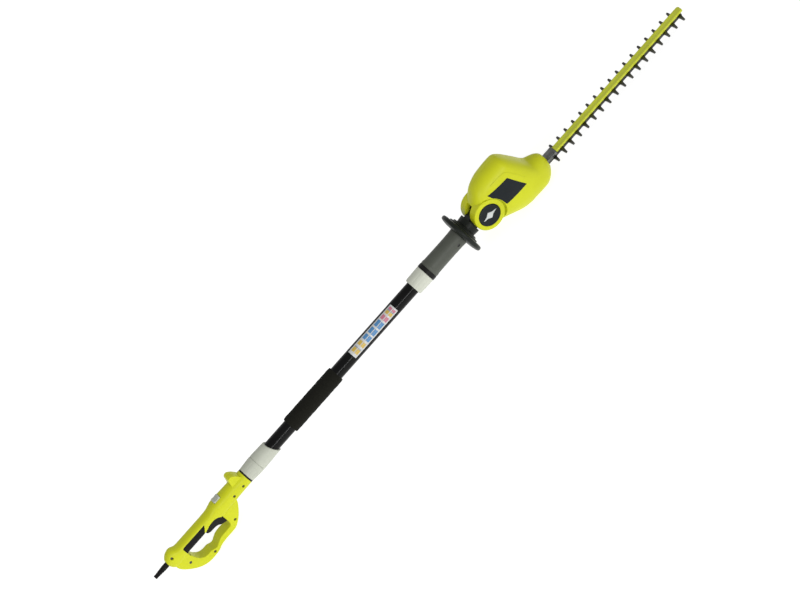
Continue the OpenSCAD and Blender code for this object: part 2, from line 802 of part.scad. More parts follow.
module motor_end_plate() color("dimgray") at_axis() difference() {
    union() {
        rod_z(motor_x, 55.5, 58, 24);
        rod_z(motor_x, 56, 65, 12.5);
    }
    rod_z(motor_x, 55, 66, 9.5);
}

brush_z = 47.5;

module brush_holders() color("goldenrod") at_axis() both_sides() difference() {
    block(motor_x - 5, motor_x + 5, 13, 32, brush_z - 6, brush_z + 6);
    block(motor_x - 3.1, motor_x + 3.1, 12, 30.5, brush_z - 4.1, brush_z + 4.1);
}

module carbon_brushes() color([0.2, 0.2, 0.2]) at_axis() both_sides() difference() {
    block(motor_x - 3, motor_x + 3, commutator_r - 1, 24, brush_z - 4, brush_z + 4);
    rod_z(motor_x, brush_z - 10, brush_z + 10, commutator_r + 0.1);
}

// Bearings: x, bottom, top, outer radius
bearing_places = [
    [motor_x, 57.5, 64, 9.5], [motor_x, -31, -24, 11],
    [crank_x, -31, -24.5, 9], [crank_x, -65, -59.6, 8]
];

module bearings() color("silver") at_axis()
    for (b = bearing_places) ring_z(b[0], b[1], b[2], b[3], shaft_r + 0.04);

// Spur gear outline with straight-sided teeth
function gear_outline(teeth) = let (r = gear_module * teeth / 2, step = 360 / teeth) [
    for (i = [0:teeth - 1], p = [[-0.27, -1.1], [-0.14, 0.75], [0.14, 0.75], [0.27, -1.1]])
        let (a = step * (i + p[0]), d = r + gear_module * p[1]) [d * cos(a), d * sin(a)]
];

gear_low = -40;
gear_high = -33;

module motor_pinion() color("silver") at_axis() translate([motor_x, 0, 0]) difference() {
    rotate([0, 0, 180 / pinion_teeth]) plan_slab(gear_outline(pinion_teeth), gear_low, gear_high + 0.5);
    rod_z(0, gear_low - 5, gear_high + 5, shaft_r - 1.8);
}

module drive_gear() color("silver") at_axis() translate([crank_x, 0, 0]) difference() {
    rotate([0, 0, 180]) plan_slab(gear_outline(gear_teeth), gear_low, gear_high);
    rod_z(0, gear_low - 5, gear_high + 5, shaft_r);
    for (a = [30:60:330]) rotate([0, 0, a]) rod_z(16, gear_low - 5, gear_high + 5, 4);
}

// Blade levels: the upper blade's top and the lower blade's bottom
upper_top = -46.8;
upper_low = upper_top - blade_t;
lower_top = upper_low - 0.2;
lower_low = lower_top - blade_t;
eccentric_r = 10.5;
axial_gap = 0.5;

module crankshaft() color("silver") at_axis() translate([crank_x, 0, 0]) union() {
    rod_z(0, -65, -24.5, shaft_r);
    translate([0, throw, 0]) rod_z(0, upper_top + axial_gap, gear_low, eccentric_r);
    translate([0, -throw, 0]) rod_z(0, -59, lower_low - axial_gap, eccentric_r);
}

case_rear = 300;
case_front = 387;
case_half = 31.5;
case_screw_places = [[306, 26], [306, -26], [381, 26], [381, -26]];

module gear_case() color("lightgray") at_axis() difference() {
    block(case_rear, case_front, -case_half, case_half, -32, -22);
    rod_z(motor_x, -40, -20, 11);
    rod_z(crank_x, -33, -24, 9);
    for (s = case_screw_places) rod_z(s[0], -33, -20, 1.9, s[1]);
}

module gear_tray() color("lightgray") at_axis() difference() {
    union() {
        block(case_rear, case_front, -case_half, case_half, -43, -32.1);
        block(316, case_front, -26.5, 26.5, -66, -40);
    }
    rod_z(crank_x, -41.2, -30, 29.4);
    rod_z(motor_x, -41.2, -30, 12);
    block(319, 384, -23.5, 23.5, -59.3, -41);
    block(383, case_front + 1, -14.2, 14.2, lower_low - 0.8, -38.8);
    rod_z(crank_x, -67, -59, 8);
    for (s = case_screw_places) rod_z(s[0], -38, -30, 1.7, s[1]);
}

// ---------- Blades ----------

bracket_end = 455;
bar_half = 10;
bar_low = -46.4;
bar_high = -40.4;
first_tooth = 443.7;
blade_end = half_length - throw - 2;
tooth_root = 4.6;
tooth_tip = 2.9;
yoke_x = eccentric_r + 0.1;
yoke_y = eccentric_r + throw + 0.5;
bolt_places = [[415, -39.5], [500, -41], [620, -41], [740, -41], [860, -41]];
bolt_r = 2.5;

// Teeth of one edge in order along X; far teeth stand half a pitch on
function edge_teeth(side, from, count) = [
    for (i = [0:count - 1], p = [[-tooth_root, bar_half], [-tooth_tip, tooth_reach],
            [tooth_tip, tooth_reach], [tooth_root, bar_half]])
        [from + tooth_pitch * i + p[0], side * p[1]]
];

blade_outline = concat(
    [[crank_x - yoke_x - 5, -yoke_y - 4], [crank_x + yoke_x + 5, -yoke_y - 4],
        [crank_x + yoke_x + 5, -bar_half]],
    edge_teeth(-1, first_tooth, tooth_count),
    [[blade_end - 1.8, -bar_half], [blade_end, -8], [blade_end, 6], [blade_end - 6, bar_half]],
    reversed(edge_teeth(1, first_tooth + tooth_pitch / 2, tooth_count - 1)),
    [[crank_x + yoke_x + 5, bar_half], [crank_x + yoke_x + 5, yoke_y + 4],
        [crank_x - yoke_x - 5, yoke_y + 4]]
);

module slot_z(x, half, r, z0, z1) {
    for (s = [-half, half]) rod_z(x + s, z0, z1, r);
    block(x - half, x + half, -r, r, z0, z1);
}

module blade(low) color("silver") at_axis() difference() {
    plan_slab(blade_outline, low, low + blade_t);
    block(crank_x - yoke_x, crank_x + yoke_x, -yoke_y, yoke_y, low - 1, low + blade_t + 1);
    for (b = bolt_places) slot_z(b[0], throw + 0.3, bolt_r + 0.2, low - 1, low + blade_t + 1);
}

module upper_blade() blade(upper_low);

module lower_blade() blade(lower_low);

module blade_bracket() color("silver") at_axis() difference() {
    block(388, bracket_end - 0.1, -14, 14, bar_low, -39);
    rod_z(bolt_places[0][0], -50, bolt_places[0][1] - 3, bolt_r);
}

module guide_bar() color("olivedrab") at_axis() difference() {
    union() {
        block(bracket_end, half_length - bar_half, -bar_half, bar_half, bar_low, bar_high);
        rod_z(half_length - bar_half, bar_low, bar_high, bar_half);
    }
    for (b = bolt_places) rod_z(b[0], bar_low - 1, b[1], bolt_r);
}

module blade_bolts() color("silver") at_axis() for (b = bolt_places) union() {
    translate([b[0], 0, lower_low - 3.4]) cylinder(r = 4.6, h = 3.2, $fn = 6);
    rod_z(b[0], lower_low - 1, b[0] < bracket_end ? b[1] - 3.2 : b[1] - 0.2, bolt_r);
}

module case_screws() color("silver") at_axis() for (s = case_screw_places) union() {
    rod_z(s[0], -22, -19.6, 3.2, s[1]);
    rod_z(s[0], -37.5, -21, 1.6, s[1]);
}

// ---------- Node switch ----------

cord_guard();
cord_clamp();
handle_shell(1);  // handle_shell_left
handle_shell(-1);  // handle_shell_right
grip_insert();
trigger();
trigger_pin();
trigger_spring();
lock_off_button();
lock_off_spring();
switch_unit();
terminal_block();
suppressor();
handle_cable();
handle_screws();
handle_spigot();
contact_plugs();
contact_sockets();
lower_nut();
lower_socket();
pole_tube();
pole_cable();
foam_grip();
pole_label();
upper_nut();
neck_collar();
neck_shell(1);  // neck_shell_left
neck_shell(-1);  // neck_shell_right
neck_screws();
hand_guard();
tilt_bracket();
neck_cable();
tilt_pin();
tilt_button();
tilt_button_spring();
pivot_cap();
head_shell(1);  // head_shell_left
head_shell(-1);  // head_shell_right
badges();
head_screws();
motor_lead();
motor_end_plate();
brush_holders();
carbon_brushes();
stator();
field_windings();
armature();
cooling_fan();
motor_pinion();
bearings();
gear_case();
gear_tray();
case_screws();
drive_gear();
crankshaft();
blade_bracket();
guide_bar();
upper_blade();
lower_blade();
blade_bolts();
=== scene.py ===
import math

import bmesh
import bpy
from mathutils import Matrix, Vector


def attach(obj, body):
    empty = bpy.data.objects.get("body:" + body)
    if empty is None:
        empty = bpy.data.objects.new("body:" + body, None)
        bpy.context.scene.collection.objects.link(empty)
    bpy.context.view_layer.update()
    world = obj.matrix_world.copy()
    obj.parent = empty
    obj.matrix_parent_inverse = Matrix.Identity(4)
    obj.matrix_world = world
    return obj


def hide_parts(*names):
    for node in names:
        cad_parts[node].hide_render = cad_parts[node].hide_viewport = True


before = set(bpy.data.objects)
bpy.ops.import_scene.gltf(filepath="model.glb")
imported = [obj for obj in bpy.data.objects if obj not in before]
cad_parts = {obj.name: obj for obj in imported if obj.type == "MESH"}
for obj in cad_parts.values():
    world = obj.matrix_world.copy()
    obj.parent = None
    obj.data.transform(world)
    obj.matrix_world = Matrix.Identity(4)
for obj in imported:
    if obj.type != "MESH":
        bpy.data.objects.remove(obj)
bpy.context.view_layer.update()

MM = 0.001
AXIS_Z = 81.0
PIVOT_X = 242.4
scene = bpy.context.scene


# ---------- Camera and light -----------------

ELEVATION = math.radians(40)
ROLL = math.radians(48.38)
# Width of the picture where the pole is, in metres
PICTURE_WIDTH = 1.84
LENS_MM = 200
SENSOR_MM = 36
# Where the middle of the picture lies from the pole's mid-point, in metres
AIM_RIGHT = -0.02875
AIM_UP = -0.02829

tilted = Vector((0, math.sin(ELEVATION), math.cos(ELEVATION)))
towards = Vector((0, -math.cos(ELEVATION), math.sin(ELEVATION)))
along = Vector((1, 0, 0))
right = math.cos(ROLL) * along - math.sin(ROLL) * tilted
up = math.sin(ROLL) * along + math.cos(ROLL) * tilted
target = Vector((0, 0, AXIS_Z * MM)) + AIM_RIGHT * right + AIM_UP * up
camera = bpy.data.objects.new("camera", bpy.data.cameras.new("camera"))
scene.collection.objects.link(camera)
camera.data.lens = LENS_MM
camera.data.sensor_width = SENSOR_MM
camera.data.clip_end = 200
camera.rotation_mode = "QUATERNION"
camera.location = target + towards * (PICTURE_WIDTH * LENS_MM / SENSOR_MM)
camera.rotation_quaternion = Matrix((right, up, towards)).transposed().to_quaternion()
scene.camera = camera
scene.view_settings.view_transform = "Standard"


def area_light(name, place, aim, size, power):
    """size is its length along the pole and its height."""
    data = bpy.data.lights.new(name, "AREA")
    data.shape = "RECTANGLE"
    data.size, data.size_y = size
    data.energy = power
    lamp = bpy.data.objects.new(name, data)
    scene.collection.objects.link(lamp)
    lamp.location = place
    lamp.rotation_mode = "QUATERNION"
    lamp.rotation_quaternion = (Vector(aim) - Vector(place)).to_track_quat("-Z", "Y")


area_light("key", (0.1, -2.9, 1.25), (0.1, 0, 0.1), (3.0, 0.16), 36)
area_light("fill", (-2.1, -1.6, 1.9), (-0.5, 0, 0.1), (1.0, 1.0), 16)
area_light("rim", (0.4, 2.8, 1.6), (0.1, 0, 0.1), (3.0, 0.4), 6)

world = bpy.data.worlds.new("studio")
scene.world = world
world.use_nodes = True
world.node_tree.nodes["Background"].inputs["Color"].default_value = (1, 1, 1, 1)
world.node_tree.nodes["Background"].inputs["Strength"].default_value = 0.42


# ---------- Materials ----------


def new_material(name, base, rough, metallic=0.0):
    m = bpy.data.materials.new(name)
    m.use_nodes = True
    shader = m.node_tree.nodes["Principled BSDF"]
    shader.inputs["Base Color"].default_value = (*base, 1)
    shader.inputs["Roughness"].default_value = rough
    shader.inputs["Metallic"].default_value = metallic
    return m, m.node_tree, shader


def node(tree, kind, **values):
    n = tree.nodes.new(kind)
    for key, value in values.items():
        if key in n.inputs:
            n.inputs[key].default_value = value
        else:
            setattr(n, key, value)
    return n


def object_space(tree, scale=(1, 1, 1)):
    coordinates = node(tree, "ShaderNodeTexCoord")
    mapping = node(tree, "ShaderNodeMapping")
    mapping.inputs["Scale"].default_value = scale
    tree.links.new(coordinates.outputs["Object"], mapping.inputs["Vector"])
    return mapping.outputs["Vector"]


def ramp(tree, source, stops, constant=False):
    r = node(tree, "ShaderNodeValToRGB")
    if constant:
        r.color_ramp.interpolation = "CONSTANT"
    while len(r.color_ramp.elements) < len(stops):
        r.color_ramp.elements.new(0.5)
    for element, (position, colour) in zip(r.color_ramp.elements, stops):
        element.position = position
        element.color = (*colour, 1)
    tree.links.new(source, r.inputs["Fac"])
    return r.outputs["Color"]


def shade(colour, factor):
    return tuple(min(1, c * factor) for c in colour)


def plastic(name, base, rough, grain=2600, depth=0.05, vary=0.08, coat=0.0, scuffs=0.5, shine=0.5):
    """Moulded plastic: fine spark-eroded grain, soft cloudy variation, light scuffs."""
    m, tree, shader = new_material(name, base, rough)
    space = object_space(tree)
    cloud = node(tree, "ShaderNodeTexNoise", Scale=14.0, Detail=5.0, Roughness=0.6)
    tree.links.new(space, cloud.inputs["Vector"])
    colour = ramp(
        tree, cloud.outputs["Fac"], [(0.3, shade(base, 1 - vary)), (0.7, shade(base, 1 + vary))]
    )
    tree.links.new(colour, shader.inputs["Base Color"])
    scuff = node(tree, "ShaderNodeTexNoise", Scale=90.0, Detail=8.0, Roughness=0.75)
    tree.links.new(space, scuff.inputs["Vector"])
    spread = node(tree, "ShaderNodeMapRange")
    spread.inputs["From Min"].default_value = 0.35
    spread.inputs["From Max"].default_value = 0.75
    spread.inputs["To Min"].default_value = rough - 0.06 * scuffs
    spread.inputs["To Max"].default_value = rough + 0.22 * scuffs
    tree.links.new(scuff.outputs["Fac"], spread.inputs["Value"])
    tree.links.new(spread.outputs["Result"], shader.inputs["Roughness"])
    fine = node(tree, "ShaderNodeTexNoise", Scale=float(grain), Detail=3.0)
    tree.links.new(space, fine.inputs["Vector"])
    bump = node(tree, "ShaderNodeBump", Strength=depth * 4, Distance=0.0002)
    tree.links.new(fine.outputs["Fac"], bump.inputs["Height"])
    tree.links.new(bump.outputs["Normal"], shader.inputs["Normal"])
    shader.inputs["Coat Weight"].default_value = coat
    shader.inputs["Coat Roughness"].default_value = 0.25
    shader.inputs["Specular IOR Level"].default_value = shine
    return m


def metal(name, base, rough, stretch=(1, 1, 1), scale=400, stain=0.1):
    """Ground or turned metal: directional scratches and a faint oily stain."""
    m, tree, shader = new_material(name, base, rough, 1.0)
    space = object_space(tree, stretch)
    lines = node(tree, "ShaderNodeTexNoise", Scale=float(scale), Detail=4.0, Roughness=0.6)
    tree.links.new(space, lines.inputs["Vector"])
    plain = object_space(tree)
    cloud = node(tree, "ShaderNodeTexNoise", Scale=35.0, Detail=6.0, Roughness=0.65)
    tree.links.new(plain, cloud.inputs["Vector"])
    colour = ramp(
        tree, cloud.outputs["Fac"], [(0.35, shade(base, 1 - stain)), (0.65, shade(base, 1 + stain))]
    )
    tree.links.new(colour, shader.inputs["Base Color"])
    spread = node(tree, "ShaderNodeMapRange")
    spread.inputs["To Min"].default_value = max(0.05, rough - 0.12)
    spread.inputs["To Max"].default_value = rough + 0.15
    tree.links.new(lines.outputs["Fac"], spread.inputs["Value"])
    tree.links.new(spread.outputs["Result"], shader.inputs["Roughness"])
    bump = node(tree, "ShaderNodeBump", Strength=0.12, Distance=0.0001)
    tree.links.new(lines.outputs["Fac"], bump.inputs["Height"])
    tree.links.new(bump.outputs["Normal"], shader.inputs["Normal"])
    return m


LIME = (0.60, 0.635, 0.014)
GREY = (0.60, 0.62, 0.53)
BLACK = (0.010, 0.010, 0.0095)
lime = plastic("lime", LIME, 0.36, 1900, 0.04, 0.05, shine=0.22)
black = plastic("black", BLACK, 0.42, 2400, 0.07, 0.2, shine=0.15)
guard_black = plastic("guard_black", (0.010, 0.013, 0.010), 0.4, 2400, 0.07, 0.2, shine=0.2)
soft = plastic("soft", (0.010, 0.010, 0.010), 0.62, 1500, 0.16, 0.25, scuffs=0.8, shine=0.12)
pale = plastic("pale", GREY, 0.45, 2200, 0.06, 0.05, shine=0.35)
pale_low = plastic("pale_low", (0.50, 0.52, 0.44), 0.45, 2200, 0.06, 0.06, shine=0.3)
neck_grey = plastic("neck_grey", (0.085, 0.092, 0.075), 0.45, 2000, 0.08, 0.12, shine=0.3)
inner = plastic("inner", (0.05, 0.05, 0.055), 0.5)
white = plastic("white", (0.80, 0.80, 0.77), 0.4)
cable = plastic("cable", (0.02, 0.02, 0.02), 0.55)
tube = plastic("tube", (0.004, 0.004, 0.004), 0.17, 900, 0.03, 0.3, shine=0.16)
bar_green = plastic("bar_green", (0.62, 0.67, 0.05), 0.36, 1500, 0.05, 0.08, shine=0.2)
plate_black = plastic("plate_black", (0.010, 0.014, 0.017), 0.3, 3000, 0.02, 0.2, shine=0.16)
mark_white = plastic("mark_white", (0.58, 0.61, 0.61), 0.35, 2600, 0.03, 0.04)
carbon = plastic("carbon", (0.03, 0.03, 0.03), 0.5)
steel = metal("steel", (0.42, 0.42, 0.41), 0.32, (1, 12, 12), 220)
blade_steel = metal("blade_steel", (0.075, 0.075, 0.065), 0.38, (14, 1, 1), 160, 0.3)
zinc = metal("zinc", (0.10, 0.10, 0.10), 0.4)
alloy = metal("alloy", (0.42, 0.43, 0.44), 0.5, (1, 1, 1), 260, 0.15)
iron = metal("iron", (0.18, 0.18, 0.19), 0.55, (1, 1, 20), 120)
coated = metal("coated", (0.03, 0.03, 0.032), 0.42, (1, 1, 1), 300, 0.2)
foot_metal = metal("foot_metal", (0.20, 0.205, 0.20), 0.48, (1, 1, 1), 90, 0.35)
brass = metal("brass", (0.70, 0.50, 0.18), 0.3)
copper = metal("copper", (0.66, 0.29, 0.13), 0.32, (1, 1, 16), 200)


def foam_material():
    """Open-cell foam: small round pores, their middles painted darker as painted shade, with a smoother
    moulded skin between them.
    """
    m, tree, shader = new_material("foam", (0.008, 0.008, 0.006), 0.88)
    space = object_space(tree)
    pores = node(tree, "ShaderNodeTexVoronoi", Scale=520.0, Randomness=1.0)
    tree.links.new(space, pores.inputs["Vector"])
    cloud = node(tree, "ShaderNodeTexNoise", Scale=60.0, Detail=5.0)
    tree.links.new(space, cloud.inputs["Vector"])
    # Painted shade: the base colour is darker at the middle of each pore, where the pits lie in shade
    colour = ramp(
        tree, pores.outputs["Distance"], [(0.05, (0.003, 0.003, 0.002)), (0.45, (0.012, 0.012, 0.009))]
    )
    tree.links.new(colour, shader.inputs["Base Color"])
    mixed = node(tree, "ShaderNodeMath", operation="ADD")
    tree.links.new(pores.outputs["Distance"], mixed.inputs[0])
    tree.links.new(cloud.outputs["Fac"], mixed.inputs[1])
    bump = node(tree, "ShaderNodeBump", Strength=0.75, Distance=0.0008)
    tree.links.new(mixed.outputs["Value"], bump.inputs["Height"])
    tree.links.new(bump.outputs["Normal"], shader.inputs["Normal"])
    shader.inputs["Specular IOR Level"].default_value = 0.08
    shader.inputs["Sheen Weight"].default_value = 0.02
    return m


foam = foam_material()


def label_material(start, length, arc, centre):
    """Printed film: plain blocks of colour between white margins, no words or signs."""
    m, tree, shader = new_material("label", (0.8, 0.8, 0.8), 0.3)
    space = object_space(tree)
    parts = node(tree, "ShaderNodeSeparateXYZ")
    tree.links.new(space, parts.inputs["Vector"])
    run = node(tree, "ShaderNodeMapRange")
    run.inputs["From Min"].default_value = start * MM
    run.inputs["From Max"].default_value = (start + length) * MM
    tree.links.new(parts.outputs["X"], run.inputs["Value"])
    paper = (0.60, 0.61, 0.60)
    yellow, blue, pink, grey = (0.60, 0.42, 0.08), (0.08, 0.24, 0.48), (0.54, 0.18, 0.25), (0.30, 0.33, 0.37)
    colour = ramp(
        tree,
        run.outputs["Result"],
        [
            (0.0, paper), (0.05, yellow), (0.13, grey), (0.155, paper), (0.19, yellow), (0.27, paper),
            (0.31, blue), (0.41, paper), (0.44, blue), (0.55, paper), (0.58, blue), (0.70, paper),
            (0.73, pink), (0.81, paper), (0.84, yellow), (0.90, grey), (0.925, pink), (0.97, paper),
        ],
        True,
    )
    lift = node(tree, "ShaderNodeMath", operation="SUBTRACT")
    lift.inputs[1].default_value = AXIS_Z * MM
    tree.links.new(parts.outputs["Z"], lift.inputs[0])
    angle = node(tree, "ShaderNodeMath", operation="ARCTAN2")
    tree.links.new(parts.outputs["Y"], angle.inputs[0])
    tree.links.new(lift.outputs["Value"], angle.inputs[1])
    across = node(tree, "ShaderNodeMapRange")
    across.inputs["From Min"].default_value = math.radians(centre - arc / 2)
    across.inputs["From Max"].default_value = math.radians(centre + arc / 2)
    tree.links.new(angle.outputs["Value"], across.inputs["Value"])
    mask = ramp(
        tree,
        across.outputs["Result"],
        [(0.0, (0, 0, 0)), (0.12, (1, 1, 1)), (0.46, (0, 0, 0)), (0.54, (1, 1, 1)), (0.88, (0, 0, 0))],
        True,
    )
    mix = node(tree, "ShaderNodeMix", data_type="RGBA")
    tree.links.new(mask, mix.inputs["Factor"])
    mix.inputs[6].default_value = (*paper, 1)
    tree.links.new(colour, mix.inputs[7])
    tree.links.new(mix.outputs[2], shader.inputs["Base Color"])
    fine = node(tree, "ShaderNodeTexNoise", Scale=700.0)
    tree.links.new(space, fine.inputs["Vector"])
    bump = node(tree, "ShaderNodeBump", Strength=0.08, Distance=0.0001)
    tree.links.new(fine.outputs["Fac"], bump.inputs["Height"])
    tree.links.new(bump.outputs["Normal"], shader.inputs["Normal"])
    return m


label = label_material(-208, 146, 84, -45)


def floor_material():
    m, tree, shader = new_material("floor", (0.55, 0.55, 0.548), 0.7)
    space = object_space(tree)
    cloud = node(tree, "ShaderNodeTexNoise", Scale=3.0, Detail=4.0)
    tree.links.new(space, cloud.inputs["Vector"])
    colour = ramp(tree, cloud.outputs["Fac"], [(0.3, (0.54, 0.54, 0.538)), (0.7, (0.56, 0.56, 0.558))])
    tree.links.new(colour, shader.inputs["Base Color"])
    shader.inputs["Specular IOR Level"].default_value = 0.1
    shader.inputs["Emission Color"].default_value = (1, 1, 1, 1)
    shader.inputs["Emission Strength"].default_value = 0.76
    return m


# ---------- Mesh building ----------


def add_mesh(name, verts, faces, material, body=None, slot=None, smooth=35):
    """verts are in millimetres, in the shared frame."""
    mesh = bpy.data.meshes.new(name)
    mesh.from_pydata([tuple(c * MM for c in v) for v in verts], [], faces)
    mesh.validate()
    obj = bpy.data.objects.new(name, mesh)
    scene.collection.objects.link(obj)
    recalculate(obj)
    if material:
        mesh.materials.append(material)
    soften(obj, smooth)
    if body:
        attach(obj, body)
    return obj


def recalculate(obj):
    b = bmesh.new()
    b.from_mesh(obj.data)
    bmesh.ops.recalc_face_normals(b, faces=b.faces)
    b.to_mesh(obj.data)
    b.free()


def soften(obj, angle):
    obj.data.shade_smooth()
    obj.data.set_sharp_from_angle(angle=math.radians(angle))


def boolean(obj, tool, operation="DIFFERENCE"):
    """Cuts or joins, and deletes the tool."""
    mod = obj.modifiers.new("cut", "BOOLEAN")
    mod.operation = operation
    mod.solver = "EXACT"
    mod.object = tool
    bpy.context.view_layer.update()
    shaped = obj.evaluated_get(bpy.context.evaluated_depsgraph_get())
    mesh = bpy.data.meshes.new_from_object(shaped)
    obj.modifiers.clear()
    old = obj.data
    obj.data = mesh
    bpy.data.meshes.remove(old)
    drop(tool)


def paint(obj, material, angle):
    obj.data.materials.clear()
    obj.data.materials.append(material)
    soften(obj, angle)


def apply_modifiers(obj):
    bpy.context.view_layer.update()
    shaped = obj.evaluated_get(bpy.context.evaluated_depsgraph_get())
    mesh = bpy.data.meshes.new_from_object(shaped)
    obj.modifiers.clear()
    obj.data = mesh


def drop(obj):
    mesh = obj.data
    bpy.data.objects.remove(obj)
    bpy.data.meshes.remove(mesh)


def loft(name, rings, material=None, **rest):
    """Closed solid through rings of as many points each."""
    n = len(rings[0])
    verts = [p for ring in rings for p in ring]
    faces = []
    for k in range(len(rings) - 1):
        for i in range(n):
            j = (i + 1) % n
            faces.append((k * n + i, k * n + j, (k + 1) * n + j, (k + 1) * n + i))
    faces.append(tuple(range(n)))
    faces.append(tuple((len(rings) - 1) * n + i for i in range(n)))
    return add_mesh(name, verts, faces, material, **rest)


def rounded(points, radius, steps=4):
    """A closed outline with its corners rounded; radius may be one number or one per corner."""
    out = []
    n = len(points)
    for i in range(n):
        p, a, b = Vector(points[i]), Vector(points[i - 1]), Vector(points[(i + 1) % n])
        r = radius[i] if isinstance(radius, (list, tuple)) else radius
        ua, ub = a - p, b - p
        cut = min(r, ua.length * 0.45, ub.length * 0.45)
        if cut < 0.02:
            out.append(tuple(p))
            continue
        start, end = p + ua.normalized() * cut, p + ub.normalized() * cut
        for k in range(steps + 1):
            t = k / steps
            out.append(tuple((1 - t) ** 2 * start + 2 * t * (1 - t) * p + t * t * end))
    return out


def band(path, width):
    """Closed outline of a stripe along an open path."""
    upper, lower = [], []
    for i, p in enumerate(path):
        a, b = path[max(i - 1, 0)], path[min(i + 1, len(path) - 1)]
        dx, dz = b[0] - a[0], b[1] - a[1]
        size = math.hypot(dx, dz) / (width / 2)
        upper.append((p[0] - dz / size, p[1] + dx / size))
        lower.append((p[0] + dz / size, p[1] - dx / size))
    return upper + lower[::-1]


def turned(name, profile, material=None, axis="x", centre=(0, 0, AXIS_Z), seg=96, wave=None, **rest):
    """Revolves a closed outline of (place along the axis, radius). wave(a, place, r) changes the radius."""
    verts, faces = [], []
    n = len(profile)
    for i in range(seg):
        a = 2 * math.pi * i / seg
        for place, r in profile:
            if wave:
                r = wave(a, place, r)
            c, s = r * math.cos(a), r * math.sin(a)
            p = {"x": (place, c, s), "y": (c, place, s), "z": (c, s, place)}[axis]
            verts.append(tuple(p[k] + centre[k] for k in range(3)))
    for i in range(seg):
        j = (i + 1) % seg
        for k in range(n):
            m = (k + 1) % n
            faces.append((i * n + k, i * n + m, j * n + m, j * n + k))
    return add_mesh(name, verts, faces, material, **rest)


def solid_of_turn(name, profile, material=None, **rest):
    """As turned, for an outline whose first and last points lie near the axis."""
    closed = [(profile[0][0], 0.01)] + list(profile) + [(profile[-1][0], 0.01)]
    obj = turned(name, closed, material, **rest)
    b = bmesh.new()
    b.from_mesh(obj.data)
    bmesh.ops.remove_doubles(b, verts=b.verts, dist=0.00003)
    bmesh.ops.recalc_face_normals(b, faces=b.faces)
    b.to_mesh(obj.data)
    b.free()
    soften(obj, 35)
    return obj


def slab(name, outline, plane, low, high, material=None, bevel=0.0, steps=3, **rest):
    """An outline in the plane "xz" or "xy", as thick as from low to high, with rounded edges."""
    n = len(outline)
    verts = []
    for level in (low, high):
        for a, b in outline:
            verts.append((a, level, b) if plane == "xz" else (a, b, level))
    faces = [tuple(range(n)), tuple(range(2 * n - 1, n - 1, -1))]
    for i in range(n):
        j = (i + 1) % n
        faces.append((i, j, n + j, n + i))
    obj = add_mesh(name, verts, faces, material, **rest)
    if bevel:
        mod = obj.modifiers.new("edge", "BEVEL")
        mod.width = bevel * MM
        mod.segments = steps
        mod.limit_method = "ANGLE"
        mod.angle_limit = math.radians(40)
        apply_modifiers(obj)
        soften(obj, 40)
    return obj


def box_tool(x0, x1, y0, y1, z0, z1):
    return slab("tool", [(x0, z0), (x1, z0), (x1, z1), (x0, z1)], "xz", y0, y1)


def rod_tool(axis, centre, r, low, high, seg=64):
    return solid_of_turn("tool", [(low, r), (high, r)], None, axis=axis, centre=centre, seg=seg)


def catmull(points, steps):
    """A smooth curve through the points, each stretch divided into so many steps."""
    out = []
    last = len(points) - 1
    for i in range(last):
        p0, p1 = points[max(i - 1, 0)], points[i]
        p2, p3 = points[i + 1], points[min(i + 2, last)]
        for k in range(steps):
            u = k / steps
            point = []
            for a, b, c, d in zip(p0, p1, p2, p3):
                square, cube = 2 * a - 5 * b + 4 * c - d, 3 * b - a - 3 * c + d
                point.append(0.5 * (2 * b + (c - a) * u + square * u * u + cube * u ** 3))
            out.append(point)
    out.append(list(points[last]))
    return out


def power(v, p):
    """Power of the size of v, with its sign kept."""
    return math.copysign(abs(v) ** p, v)


def section(s, n=72, wall=0.0, floor=None):
    """Superellipse ring across X: s is x, half width, top, bottom, widest height, squareness."""
    x, half, top, low, mid, square = s
    ring = []
    for i in range(n):
        a = 2 * math.pi * (i + 0.5) / n
        c, t = math.cos(a), math.sin(a)
        reach = (top - wall - mid) if t > 0 else (mid - low - wall)
        z = mid + reach * power(t, 2 / square)
        if floor is not None:
            z = max(z, floor + wall)
        ring.append((x, (half - wall) * power(c, 2 / square), z + AXIS_Z))
    return ring


def station_at(stations, x):
    """The section's numbers at x, between the two nearest stations."""
    for a, b in zip(stations, stations[1:]):
        if a[0] <= x <= b[0]:
            t = (x - a[0]) / (b[0] - a[0])
            return [p + (q - p) * t for p, q in zip(a, b)]
    return stations[0] if x < stations[0][0] else stations[-1]


def half_width(stations, x, z):
    """How far the surface lies from the middle plane at x, and at z from the axis."""
    s = station_at(stations, x)
    t = (z - s[4]) / (s[2] - s[4]) if z > s[4] else (s[4] - z) / (s[4] - s[3])
    return s[1] * max(0.0, 1 - t ** s[5]) ** (1 / s[5])


PARTING_LINE = 0.36


def split(whole, name, material, body, nodes, angle=32):
    """The left and right halves of a moulded housing, with a thin line between them."""
    halves = []
    for side, sign in (("left", 1), ("right", -1)):
        piece = whole.copy()
        piece.data = whole.data.copy()
        piece.name = f"{name}_{side}"
        scene.collection.objects.link(piece)
        near, far = sorted((sign * PARTING_LINE / 2, sign * 120))
        boolean(piece, box_tool(-1000, 1000, near, far, -20, 220), "INTERSECT")
        paint(piece, material, angle)
        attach(piece, body)
        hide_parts(nodes[side])
        halves.append(piece)
    drop(whole)
    return halves


# ---------- Rear handle ----------

HANDLE_WALL = 3.2
SCREW_HOLE_R = 3.7
LOOP_HALF = 15
STOP_HALF = 13
ROUND_EDGE = 4.5
# Half the depth of a cut that goes through the handle from side to side
THROUGH = 30
COVER_GROOVE = 1.9
PAD_DEPTH = 1.7

